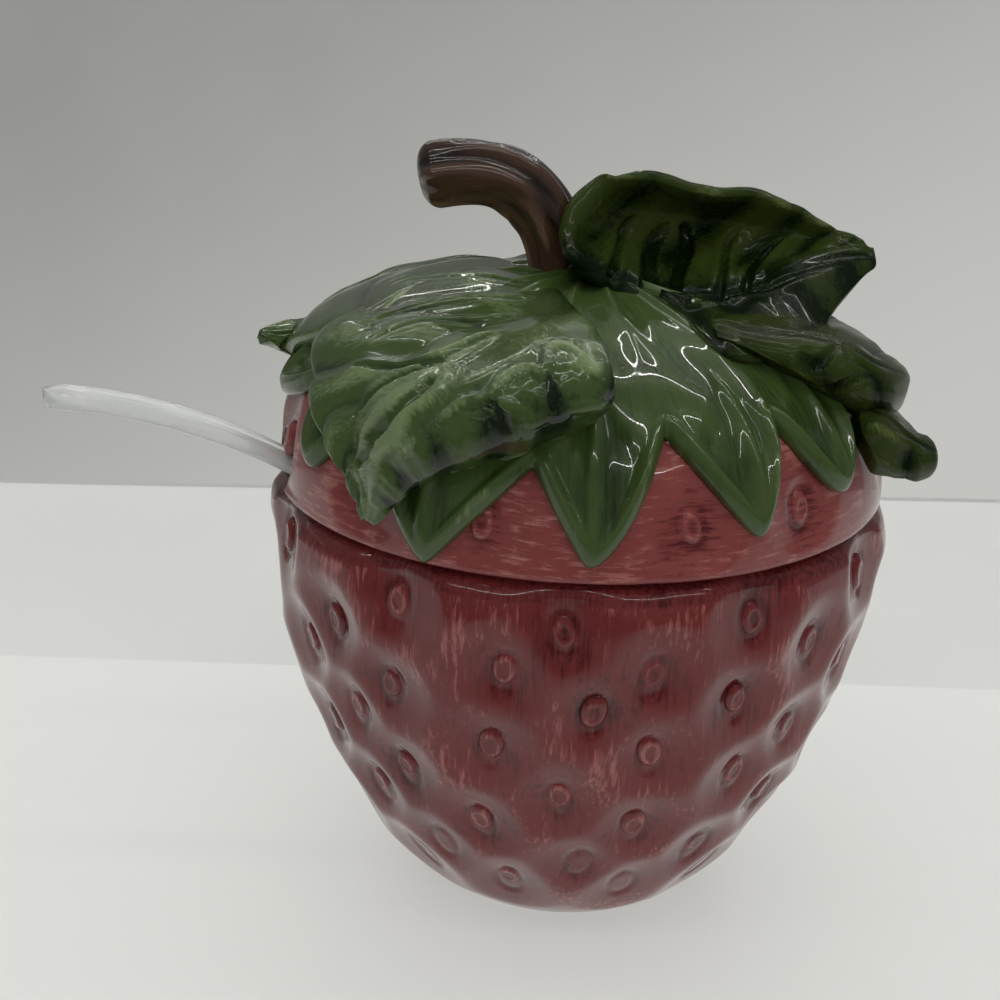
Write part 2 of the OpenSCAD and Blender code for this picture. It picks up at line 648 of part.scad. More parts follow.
module spoon() {
    rows = 9;
    bowl_rows = 9;
    across = [1, 0, 0];
    sweep = concat(
        [for (i = [0:rows]) [bezier(handle_outside, i / rows), bezier_way(handle_outside, i / rows)]],
        [for (i = [1:rows - 1]) [bezier(handle_inside, i / rows), bezier_way(handle_inside, i / rows)]]
    );
    color([0.85, 0.88, 0.88, 0.45])
        rotate([0, 0, spoon_turn + 90])
            loft(concat(
                [for (i = [0:len(sweep) - 1])
                    let(c = sweep[i][0])
                    let(w = sweep[i][1])
                    let(round_end = i < 2 ? handle_end_shares[i] : 1)
                    let(neck = blend(1, neck_share, pow(i / (len(sweep) - 1), 2)))
                    let(thin = i == 0 ? handle_end_thickness_share : 1)
                    [for (q = handle_section(round_end * neck, thin, i > 1 ? 1 : 0))
                        [q[0], -c[0], c[1]] + q[1] * [0, -w[1], -w[0]]]],
                [for (i = [0:bowl_rows])
                    let(f = i / bowl_rows)
                    let(c = bowl_start + bowl_length * f * bowl_way)
                    let(half = blend(bowl_root_share * handle_width, bowl_width / 2, sin(180 * pow(f, 1.2)))
                        * (f == 1 ? bowl_tip_share : 1))
                    let(sink = bowl_depth * sin(180 * min(1, f)))
                    let(t = blend(handle_thickness, bowl_wall, min(1, 4 * f)) / 2)
                    let(line = [for (k = [0:spoon_points]) 2 * k / spoon_points - 1])
                    concat(
                        [for (x = line) [x * half, -c[0], c[1]]
                            + (t - sink * (1 - x * x)) * [0, -bowl_way[1], -bowl_way[0]]],
                        [for (k = [spoon_points:-1:0]) let(x = line[k]) [x * half, -c[0], c[1]]
                            + (-t - sink * (1 - x * x)) * [0, -bowl_way[1], -bowl_way[0]]])]
            ));
}

pot_body();
lid_dome();
calyx();
leaf_folded();
leaf_upright();
leaf_back_left();
leaf_right_upper();
leaf_right_lower();
leaf_back();
stem();
spoon();
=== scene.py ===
"""Dresses the strawberry jam pot: dimpled berry, leafy lid, stem handle and clear spoon.

Sizes are in metres where a class doesn't say otherwise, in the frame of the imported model: the
origin is the centre of the foot on the table, +Z is up and the photograph's camera looks along +Y.
"""
import logging
import math
from dataclasses import dataclass, field
from enum import Enum
from typing import Any, Dict, List, Optional, Sequence, Tuple

import bpy
import numpy as np
from mathutils import Matrix, Vector


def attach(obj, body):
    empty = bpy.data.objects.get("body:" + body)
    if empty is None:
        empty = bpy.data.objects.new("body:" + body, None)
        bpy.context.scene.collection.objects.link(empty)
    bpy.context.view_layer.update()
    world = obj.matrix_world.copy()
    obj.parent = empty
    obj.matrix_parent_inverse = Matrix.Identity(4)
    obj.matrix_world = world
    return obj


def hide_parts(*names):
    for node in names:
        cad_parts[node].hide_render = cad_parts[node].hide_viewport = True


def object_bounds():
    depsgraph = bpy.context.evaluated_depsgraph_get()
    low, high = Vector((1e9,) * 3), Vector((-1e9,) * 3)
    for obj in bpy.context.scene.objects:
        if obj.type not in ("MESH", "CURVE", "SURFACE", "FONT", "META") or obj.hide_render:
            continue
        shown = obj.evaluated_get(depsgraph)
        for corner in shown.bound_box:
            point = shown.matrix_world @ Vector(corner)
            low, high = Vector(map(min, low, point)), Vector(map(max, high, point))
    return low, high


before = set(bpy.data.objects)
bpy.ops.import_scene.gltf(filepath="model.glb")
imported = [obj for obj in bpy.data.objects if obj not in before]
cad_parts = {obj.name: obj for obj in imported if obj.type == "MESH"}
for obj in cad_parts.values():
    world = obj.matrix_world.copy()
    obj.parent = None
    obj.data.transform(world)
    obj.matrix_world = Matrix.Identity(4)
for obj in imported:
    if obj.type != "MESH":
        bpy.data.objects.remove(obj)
CAD_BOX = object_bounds()

LOG = logging.getLogger("jam_pot")
MM = 0.001
Colour = Tuple[float, float, float]
Point = Sequence[float]
Array = np.ndarray
Piece = bpy.types.Object
Finish = bpy.types.Material


class Body(Enum):
    """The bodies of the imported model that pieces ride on."""

    POT = "pot"
    LID = "lid"
    SPOON = "spoon"


class Slot(Enum):
    """Names of the material slots."""

    BERRY = "berry_glaze"
    LEAF = "leaf_glaze"
    STEM = "stem_glaze"
    PLASTIC = "clear_plastic"


class Brush(Enum):
    """The way that the glaze was brushed on, as the stretch of its strokes along X, Y and Z."""

    UPRIGHT = (1.0, 1.0, 0.06)
    LEVEL = (0.13, 0.13, 1.0)
    ALONG = (1.0, 1.0, 1.0)


class Val:
    """A node socket that can be used in Python expressions."""

    def __init__(self, shade: "Shade", socket: Any) -> None:
        """Keeps the socket and the node tree that it belongs to."""
        self.shade = shade
        self.socket = socket

    def _math(self, operation: str, *values: Any) -> "Val":
        """Adds one Math node.

        Args:
            operation: The node's operation.
            values: Its inputs, as sockets or numbers.

        Returns:
            The node's value.
        """
        return self.shade.node("ShaderNodeMath", {"operation": operation}, dict(enumerate(values)))

    def __add__(self, other: Any) -> "Val":
        """Sum."""
        return self._math("ADD", self, other)

    def __radd__(self, other: Any) -> "Val":
        """Sum, with the number on the left."""
        return self._math("ADD", other, self)

    def __sub__(self, other: Any) -> "Val":
        """Difference."""
        return self._math("SUBTRACT", self, other)

    def __rsub__(self, other: Any) -> "Val":
        """Difference, with the number on the left."""
        return self._math("SUBTRACT", other, self)

    def __mul__(self, other: Any) -> "Val":
        """Product."""
        return self._math("MULTIPLY", self, other)

    def __rmul__(self, other: Any) -> "Val":
        """Product, with the number on the left."""
        return self._math("MULTIPLY", other, self)

    def sine(self) -> "Val":
        """The sine of the value."""
        return self._math("SINE", self)

    def clamp(self) -> "Val":
        """The value held between 0 and 1."""
        return self.shade.node("ShaderNodeClamp", {}, {0: self})


class Shade:
    """Builds one node material."""

    MIDDLE: Tuple[float, float] = (0.3, 0.7)

    def __init__(self, name: str) -> None:
        """Starts an empty material with an output.

        Args:
            name: The material's name.
        """
        self.material = bpy.data.materials.new(name)
        self.material.use_nodes = True
        self.tree = self.material.node_tree
        self.tree.nodes.clear()
        self.out = self.tree.nodes.new("ShaderNodeOutputMaterial")

    def node(self, kind: str, settings: Dict[str, Any], inputs: Dict[Any, Any], output: Any = 0) -> Val:
        """Adds any node.

        Args:
            kind: The node's type.
            settings: Properties that are set first; "stops" sets a ramp's stops.
            inputs: Values or links for its sockets, by name or number.
            output: The socket that is returned.

        Returns:
            The chosen output.
        """
        made = self.tree.nodes.new(kind)
        for key, value in settings.items():
            if key == "stops":
                self._stops(made, value)
            else:
                setattr(made, key, value)
        for key, value in inputs.items():
            if isinstance(value, Val):
                self.tree.links.new(value.socket, made.inputs[key])
            else:
                made.inputs[key].default_value = value
        return Val(self, made.outputs[output])

    @staticmethod
    def _stops(ramp: Any, stops: Sequence[Tuple[float, Colour]]) -> None:
        """Sets the stops of a colour ramp.

        Args:
            ramp: The ramp node.
            stops: Places and colours.
        """
        elements = ramp.color_ramp.elements
        while len(elements) < len(stops):
            elements.new(0.5)
        for element, (place, colour) in zip(elements, stops):
            element.position = place
            element.color = (*colour, 1)

    def own_place(self) -> Val:
        """The piece's own coordinates."""
        return self.node("ShaderNodeTexCoord", {}, {}, "Object")

    def coordinates(self, scale: Point) -> Val:
        """The piece's own coordinates, scaled."""
        return self.node("ShaderNodeMapping", {}, {"Vector": self.own_place(), "Scale": tuple(scale)})

    def noise(
        self, scale: float, stretch: Point = (1, 1, 1), detail: float = 4, rough: float = 0.55,
        at: Optional[Val] = None,
    ) -> Val:
        """Noise between 0 and 1.

        Args:
            scale: Waves in a metre.
            stretch: Scale along each axis.
            detail: Octaves.
            rough: Weight of the finer octaves.
            at: Coordinates that take the place of the piece's own.

        Returns:
            The noise.
        """
        where = self.coordinates(stretch) if at is None else at
        inputs = {"Vector": where, "Scale": scale, "Detail": detail, "Roughness": rough}
        return self.node("ShaderNodeTexNoise", {}, inputs)

    def attribute(self, name: str, output: str = "Fac") -> Val:
        """A value that the mesh carries.

        Args:
            name: The attribute's name.
            output: "Fac" for a number, "Vector" for a vector.

        Returns:
            The value.
        """
        return self.node("ShaderNodeAttribute", {"attribute_name": name}, {}, output)

    def strokes(self, brush: Brush, scale: float) -> Val:
        """Brush strokes between 0 and 1.

        Args:
            brush: Their direction.
            scale: Strokes in a metre.

        Returns:
            The strokes.
        """
        flow = self.attribute("flow", "Vector") if brush is Brush.ALONG else None
        return self.noise(scale, brush.value, 5, 0.65, flow)

    def ramp(self, value: Val, stops: Sequence[Tuple[float, Colour]]) -> Val:
        """A colour for a value between 0 and 1."""
        return self.node("ShaderNodeValToRGB", {"stops": stops}, {0: value})

    def levels(self, value: Val, low: float, high: float) -> Val:
        """The value spread from low..high to 0..1, smoothly and held there."""
        inputs = {"Value": value, "From Min": low, "From Max": high}
        return self.node("ShaderNodeMapRange", {"interpolation_type": "SMOOTHSTEP"}, inputs)

    def mix(self, factor: Any, first: Any, second: Any) -> Val:
        """A blend of two colours.

        Args:
            factor: Share of the second colour, as a socket or a number.
            first: One colour, as a socket or three numbers.
            second: The other colour.

        Returns:
            The blended colour.
        """
        one, two = (c if isinstance(c, Val) else (*c, 1) for c in (first, second))
        return self.node("ShaderNodeMix", {"data_type": "RGBA"}, {0: factor, 6: one, 7: two}, 2)

    def bump(self, height: Val, distance: float, strength: float = 1) -> Val:
        """A normal from a height."""
        return self.node("ShaderNodeBump", {}, {"Height": height, "Distance": distance, "Strength": strength})

    def surface(self, inputs: Dict[str, Any]) -> Finish:
        """Ends the material in a Principled shader.

        Args:
            inputs: The shader's inputs.

        Returns:
            The material.
        """
        end = self.node("ShaderNodeBsdfPrincipled", {}, inputs)
        self.tree.links.new(end.socket, self.out.inputs["Surface"])
        return self.material


@dataclass(frozen=True)
class Glaze:
    """A brushed underglaze colour under a clear gloss glaze; its scales are waves in a metre."""

    name: str
    deep: Colour
    body: Colour
    thin: Colour
    brush: Brush = Brush.UPRIGHT
    stroke: float = 900
    contrast: float = 1.8
    coat: float = 0.6
    sheen: float = 0.15
    cloud: float = 70
    patch: float = 190
    patch_stretch: Tuple[float, float, float] = (1, 1, 0.45)
    speck: float = 5200
    body_span: Tuple[float, float] = (0.45, 0.7)
    roughness: float = 0.3
    polish: float = 0.12
    relief: float = 0.00006

    def build(self) -> Finish:
        """Makes the material from the pieces' ridge marks: darker where the colour pooled, paler on ridges, and
        paler or darker where a piece's marks paint light or shade.

        Returns:
            The material.
        """
        shade = Shade(self.name)
        strokes = shade.strokes(self.brush, self.stroke)
        cloud = shade.noise(self.cloud, detail=3, rough=0.5)
        patches = shade.noise(self.patch, self.patch_stretch, 4, 0.6)
        specks = shade.noise(self.speck, detail=2, rough=0.5)
        tone = (strokes * 0.5 + cloud * 0.25 + patches * 0.25 - 0.5) * self.contrast
        level = (shade.attribute("ridge") + tone).clamp()
        low, high = self.body_span
        stops = ((0.0, self.deep), (low, self.body), (high, self.body), (1.0, self.thin))
        return shade.surface(
            {
                "Base Color": shade.ramp(level, stops),
                "Roughness": self.roughness - self.polish * cloud,
                "Normal": shade.bump(strokes * 0.7 + specks * 0.3, self.relief, 0.6),
                "Coat Weight": self.coat,
                "Coat Roughness": 0.03,
                "Coat IOR": 1.5,
                "Specular IOR Level": self.sheen,
            }
        )


@dataclass(frozen=True)
class ClearPlastic:
    """Clear moulded plastic with faint haze."""

    name: str = "clear_plastic_moulded"
    tint: Colour = (0.97, 0.98, 0.97)
    hazy: Colour = (0.92, 0.94, 0.93)
    clear: float = 0.7

    def build(self) -> Finish:
        """Makes the material.

        Returns:
            The material.
        """
        shade = Shade(self.name)
        haze = shade.noise(260, detail=3, rough=0.5)
        scuffs = shade.noise(2600, detail=3, rough=0.6)
        return shade.surface(
            {
                "Base Color": shade.mix(shade.levels(haze, *Shade.MIDDLE), self.tint, self.hazy),
                "Roughness": 0.05 + 0.07 * haze,
                "Normal": shade.bump(scuffs, 0.00002, 0.5),
                "IOR": 1.49,
                "Transmission Weight": self.clear,
            }
        )


@dataclass(frozen=True)
class Paint:
    """A matt, faintly clouded finish for the floor and the wall, which glows a little."""

    name: str
    colour: Colour
    glow: float
    lit: float
    far_colour: Optional[Colour] = None
    way: Tuple[float, float, float] = (0.137, 0.0, -0.256)
    span: Tuple[float, float] = (-0.08, 0.2)
    cloud: float = 9
    dull: float = 0.96

    def build(self) -> Finish:
        """Makes the material: one colour, or a slow change to a second one along a way.

        Returns:
            The material.
        """
        shade = Shade(self.name)
        cloud = shade.noise(self.cloud, detail=3, rough=0.5)
        darker = tuple(self.dull * c for c in self.colour)
        tone = shade.mix(shade.levels(cloud, *Shade.MIDDLE), darker, self.colour)
        if self.far_colour is not None:
            dot = {"operation": "DOT_PRODUCT"}
            run = shade.node("ShaderNodeVectorMath", dot, {0: shade.own_place(), 1: self.way}, "Value")
            tone = shade.mix(shade.levels(run, *self.span), tone, self.far_colour)
        base = shade.node("ShaderNodeVectorMath", {"operation": "SCALE"}, {0: tone, "Scale": self.lit})
        return shade.surface(
            {"Base Color": base, "Roughness": 0.6, "Emission Color": tone, "Emission Strength": self.glow}
        )


@dataclass(frozen=True)
class Tube:
    """A row of small lights behind a narrow strip, which the glaze mirrors as a dotted line."""

    name: str
    strength: float
    pitch: float = 14 * MM
    dark: Colour = (0.12, 0.12, 0.12)
    bright: Colour = (1.0, 0.99, 0.95)
    edge: float = 0.4

    def build(self) -> Finish:
        """Makes the material.

        Returns:
            The material.
        """
        shade = Shade(self.name)
        along = shade.node("ShaderNodeSeparateXYZ", {}, {0: shade.own_place()}, 0)
        wave = (along * (2 * math.pi / self.pitch)).sine()
        dots = shade.levels(wave, -self.edge, self.edge)
        return shade.surface(
            {
                "Base Color": (0.8, 0.8, 0.8, 1),
                "Emission Color": shade.mix(dots, self.dark, self.bright),
                "Emission Strength": self.strength,
            }
        )


BERRY_GLAZE = Glaze(
    "berry_glaze_upright", (0.045, 0.003, 0.004), (0.125, 0.018, 0.018), (0.27, 0.085, 0.078), stroke=1300,
    contrast=3.3
)
# The lid's glaze is brushed level and is paler than the pot's: the paler colours are painted light, for the
# bright room that the lid's upward faces reflect.
LID_GLAZE = Glaze(
    "berry_glaze_level", (0.07, 0.007, 0.009), (0.19, 0.043, 0.04), (0.33, 0.13, 0.115), Brush.LEVEL, 1500,
    contrast=3.5, coat=0.55
)
LEAF_GLAZE = Glaze(
    "leaf_glaze_brushed", (0.003, 0.008, 0.002), (0.04, 0.067, 0.017), (0.14, 0.19, 0.085), Brush.ALONG, 1500,
    contrast=1.3
)
# A darker, less glossy copy of the leaf glaze for the leaves that sit in shade: its darker colours are painted
# shade.
SHADED_LEAF_GLAZE = Glaze(
    "leaf_glaze_shaded", (0.002, 0.006, 0.0015), (0.022, 0.034, 0.006), (0.1, 0.13, 0.045), Brush.ALONG, 1500,
    contrast=1.6, coat=0.14, sheen=0.05
)
STEM_GLAZE = Glaze(
    "stem_glaze_brushed", (0.005, 0.003, 0.002), (0.048, 0.025, 0.014), (0.2, 0.125, 0.08), Brush.ALONG, 900,
    contrast=1.3, coat=0.8
)
FLOOR_WHITE = Paint(
    "floor_white", (0.08, 0.08, 0.08), glow=0.64, lit=0.5, far_colour=(0.67, 0.675, 0.65), way=(0, 1, 0),
    span=(-0.32, -0.06)
)
FLOOR_PALE = Paint("floor_pale", (0.61, 0.615, 0.595), glow=0.48, lit=0.7)
# A thin darker strip where the floor meets the wall: painted shade.
FLOOR_SHADE = Paint("floor_shade", (0.42, 0.42, 0.41), glow=0.42, lit=0.75)
# The wall's paint runs from darker at the top and left to paler low on the right: painted fall-off of the
# room's light.
WALL_GREY = Paint("wall_grey", (0.29, 0.29, 0.275), glow=0.93, lit=0.15, far_colour=(0.55, 0.55, 0.525))


def unit(v: Array) -> Array:
    """The vectors at length 1."""
    return v / np.maximum(np.linalg.norm(v, axis=-1, keepdims=True), 1e-12)


def blend(a: Any, b: Any, f: Any) -> Any:
    """A value between a and b."""
    return a + (b - a) * f


def smooth(low: float, high: float, x: Array) -> Array:
    """A smooth step from 0 at low to 1 at high."""
    t = np.clip((x - low) / (high - low), 0, 1)
    return t * t * (3 - 2 * t)


def around(columns: int) -> Array:
    """Evenly spaced angles round the axis, in radians."""
    return np.linspace(0, 2 * math.pi, columns, endpoint=False)


def polar(r: Any, a: Array, z: Array) -> Array:
    """Points from radii, angles and heights."""
    return np.stack([r * np.cos(a), r * np.sin(a), z], -1)


def turned(side: Vector, up: Vector, angle: float) -> Tuple[Vector, Vector]:
    """Two directions at a right angle, turned in their plane by an angle in radians."""
    c, s = math.cos(angle), math.sin(angle)
    return side * c + up * s, up * c - side * s


def linked(name: str, data: Any) -> Piece:
    """An object that holds the data, linked to the scene.

    Args:
        name: The object's name.
        data: A mesh, a camera or a light.

    Returns:
        The object.
    """
    made = bpy.data.objects.new(name, data)
    bpy.context.scene.collection.objects.link(made)
    return made


def worked_mesh(piece: Piece) -> bpy.types.Mesh:
    """A new mesh of the piece with its modifiers worked in."""
    return bpy.data.meshes.new_from_object(piece.evaluated_get(bpy.context.evaluated_depsgraph_get()))


def bezier(points: Sequence[Point], f: Array) -> Tuple[Array, Array]:
    """Points and directions of a cubic curve.

    Args:
        points: Four control points.
        f: Places along it from 0 to 1.

    Returns:
        One point and one unit vector for each place.
    """
    p = [np.asarray(q, float) for q in points]
    f = f[..., None]
    g = 1 - f
    curve = g**3 * p[0] + 3 * f * g**2 * p[1] + 3 * f**2 * g * p[2] + f**3 * p[3]
    return curve, unit(g**2 * (p[1] - p[0]) + 2 * f * g * (p[2] - p[1]) + f**2 * (p[3] - p[2]))


def ripple(points: Array, seed: int, wave: float) -> Array:
    """Smooth uneven waves between about -1 and 1, the same on every run.

    Args:
        points: Points of shape (..., 3), in metres.
        seed: Number that picks the waves.
        wave: Length of the longest wave, in metres.

    Returns:
        One value for each point.
    """
    rng = np.random.RandomState(seed)
    x, y, z = points[..., 0], points[..., 1], points[..., 2]
    total = np.zeros_like(x)
    for _ in range(6):
        way = rng.normal(size=3)
        way *= 2 * math.pi / (wave * (0.6 + 0.6 * rng.rand())) / np.linalg.norm(way)
        total = total + np.sin(way[0] * x + way[1] * y + way[2] * z + rng.rand() * 6.28)
    return total / 3


def hold(points: Array, soft: float = 1.5 * MM) -> Array:
    """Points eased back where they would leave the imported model's box sideways.

    Args:
        points: Points of shape (..., 3).
        soft: The depth over which they are eased.

    Returns:
        The points, all inside the box along X and Y.
    """
    out = points.copy()
    for axis in (0, 1):
        for sign, limit in ((1, CAD_BOX[1][axis]), (-1, -CAD_BOX[0][axis])):
            past = sign * out[..., axis] - (limit - soft)
            eased = sign * (limit - soft + soft * np.tanh(np.maximum(past, 0) / soft))
            out[..., axis] = np.where(past > 0, eased, out[..., axis])
    return out


def mesh_from_rings(
    name: str, rings: Array, marks: Optional[Array] = None, flow: Optional[Array] = None
) -> Piece:
    """A closed skin through a stack of rings, with a middle point at both ends.

    Args:
        name: The object's name.
        rings: Points of shape (rings, columns, 3), in metres.
        marks: The "ridge" value of each point.
        flow: Coordinates for the brush strokes of each point.

    Returns:
        The object, linked to the scene.
    """
    rows, columns, _ = rings.shape
    points = rings.reshape(-1, 3)
    i = np.arange(rows - 1)[:, None] * columns
    j = np.arange(columns)[None, :]
    k = (j + 1) % columns
    quads = np.stack([i + j, i + k, i + columns + k, i + columns + j], -1).reshape(-1, 4)
    faces: List[Sequence[int]] = quads.tolist()
    values = np.zeros(len(points)) if marks is None else marks.reshape(-1)
    ways = points if flow is None else flow.reshape(-1, 3)
    ends = np.stack([rings[0].mean(0), rings[-1].mean(0)])
    first, last = len(points), len(points) + 1
    points = np.concatenate([points, ends])
    values = np.concatenate([values, [values[0], values[-1]]])
    ways = np.concatenate([ways, ways[:1], ways[-1:]])
    top = (rows - 1) * columns
    for c in range(columns):
        d = (c + 1) % columns
        faces.append((first, d, c))
        faces.append((last, top + c, top + d))
    corner = [points[[f[k] for f in faces]] for k in (0, 1, 2)]
    last_corner = points[[f[-1] for f in faces]]
    volume = (np.cross(corner[1], corner[2]) * corner[0]).sum()
    volume += (np.cross(corner[2], last_corner) * corner[0]).sum()
    if volume < 0:
        faces = [f[::-1] for f in faces]
    mesh = bpy.data.meshes.new(name)
    mesh.from_pydata(points.tolist(), [], faces)
    mark = mesh.attributes.new("ridge", "FLOAT", "POINT")
    mark.data.foreach_set("value", values.astype(np.float32))
    way = mesh.attributes.new("flow", "FLOAT_VECTOR", "POINT")
    way.data.foreach_set("vector", ways.astype(np.float32).ravel())
    mesh.polygons.foreach_set("use_smooth", [True] * len(mesh.polygons))
    mesh.update()
    return linked(name, mesh)


def place(piece: Piece, body: Body, slot: Slot, finish: Finish, *nodes: str) -> None:
    """Dresses a piece and ties it to the frame.

    Args:
        piece: The finished object.
        body: The body that it rides on.
        slot: The slot of its finish; not used.
        finish: Its material.
        nodes: The CAD nodes that it stands for.
    """
    piece.data.materials.clear()
    piece.data.materials.append(finish)
    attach(piece, body.value)
    if nodes:
        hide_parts(*nodes)
    LOG.info("%s: %d faces on %s", piece.name, len(piece.data.polygons), body.value)


def spin(radius: Array, height: Array, columns: int) -> Array:
    """Rings from radii and heights.

    Args:
        radius: Radii of shape (rings,) or (rings, columns).
        height: Heights of the same shape.
        columns: Points in a ring.

    Returns:
        Points of shape (rings, columns, 3).
    """
    r, z = (v if v.ndim == 2 else np.repeat(v[:, None], columns, 1) for v in (radius, height))
    return polar(r, around(columns)[None, :], z)


def arc(centre: Point, r: float, start: float, end: float, steps: int) -> Array:
    """Points of an arc, as (radius, height) pairs; start and end are in degrees."""
    a = np.radians(np.linspace(start, end, steps))
    return np.stack([centre[0] + r * np.cos(a), centre[1] + r * np.sin(a)], -1)


@dataclass
class Seeds:
    """Staggered, uneven rows of seeds, each in a shallow dimple with a groove round the seed.

    The first row's height and the pitch of the rows are in metres, the turn is in degrees, and the
    marks are the "ridge" values of the skin, of the shoulders between the dimples and of the grooves.
    """

    count: int
    rows: int
    first: float
    pitch: float
    turn: float = 0.0
    number: int = 3
    reach: float = 9.6 * MM
    depth: float = 2.3 * MM
    length: float = 6.3 * MM
    width: float = 4.2 * MM
    groove: float = 0.38 * MM
    jitter: float = 0.13
    lean: float = 0.2
    groove_place: float = 1.15
    groove_width: float = 0.28
    bowl_power: float = 1.15
    merge_power: float = 7.0
    skin_mark: float = 0.38
    shoulder_mark: float = 0.26
    groove_mark: float = 0.17

    def places(self) -> Array:
        """Angles and heights of the seeds.

        Returns:
            An array of shape (seeds, 3): angle, height and tilt, in radians and metres.
        """
        rng = np.random.RandomState(self.number)
        out = []
        for row in range(self.rows):
            for k in range(self.count):
                step = 2 * math.pi / self.count
                a = (k + 0.5 * (row % 2)) * step + math.radians(self.turn)
                a += step * self.jitter * rng.uniform(-1, 1)
                z = self.first + self.pitch * (row + self.jitter * rng.uniform(-1, 1))
                out.append((a, z, rng.uniform(-self.lean, self.lean)))
        return np.array(out)

    def relief(self, a: Array, z: Array, r: Array) -> Tuple[Array, Array]:
        """Height of the surface over the smooth skin.

        Args:
            a: Angles in radians.
            z: Heights.
            r: Radii of the smooth skin.

        Returns:
            The relief in metres, and the ridge mark from 0 to 1.
        """
        blur = np.full(a.shape, 1e-6)
        rim = np.zeros_like(a)
        for angle, height, tilt in self.places():
            turn = (a - angle + math.pi) % (2 * math.pi) - math.pi
            along = r * turn
            up = z - height
            away = np.hypot(along, up) / self.reach
            blur += np.maximum(away, 0.05) ** -self.merge_power
            across = along * math.cos(tilt) + up * math.sin(tilt)
            length = up * math.cos(tilt) - along * math.sin(tilt)
            q = np.hypot(2 * across / self.width, 2 * length / self.length)
            rim = np.maximum(rim, np.exp(-(((q - self.groove_place) / self.groove_width) ** 2)))
        near = blur ** (-1 / self.merge_power)
        dimple = -self.depth * (1 - np.clip(near, 0, 1) ** 2) ** self.bowl_power
        marks = self.skin_mark + self.shoulder_mark * smooth(0.3, 0.95, near) - self.groove_mark * rim
        return dimple - self.groove * rim, marks


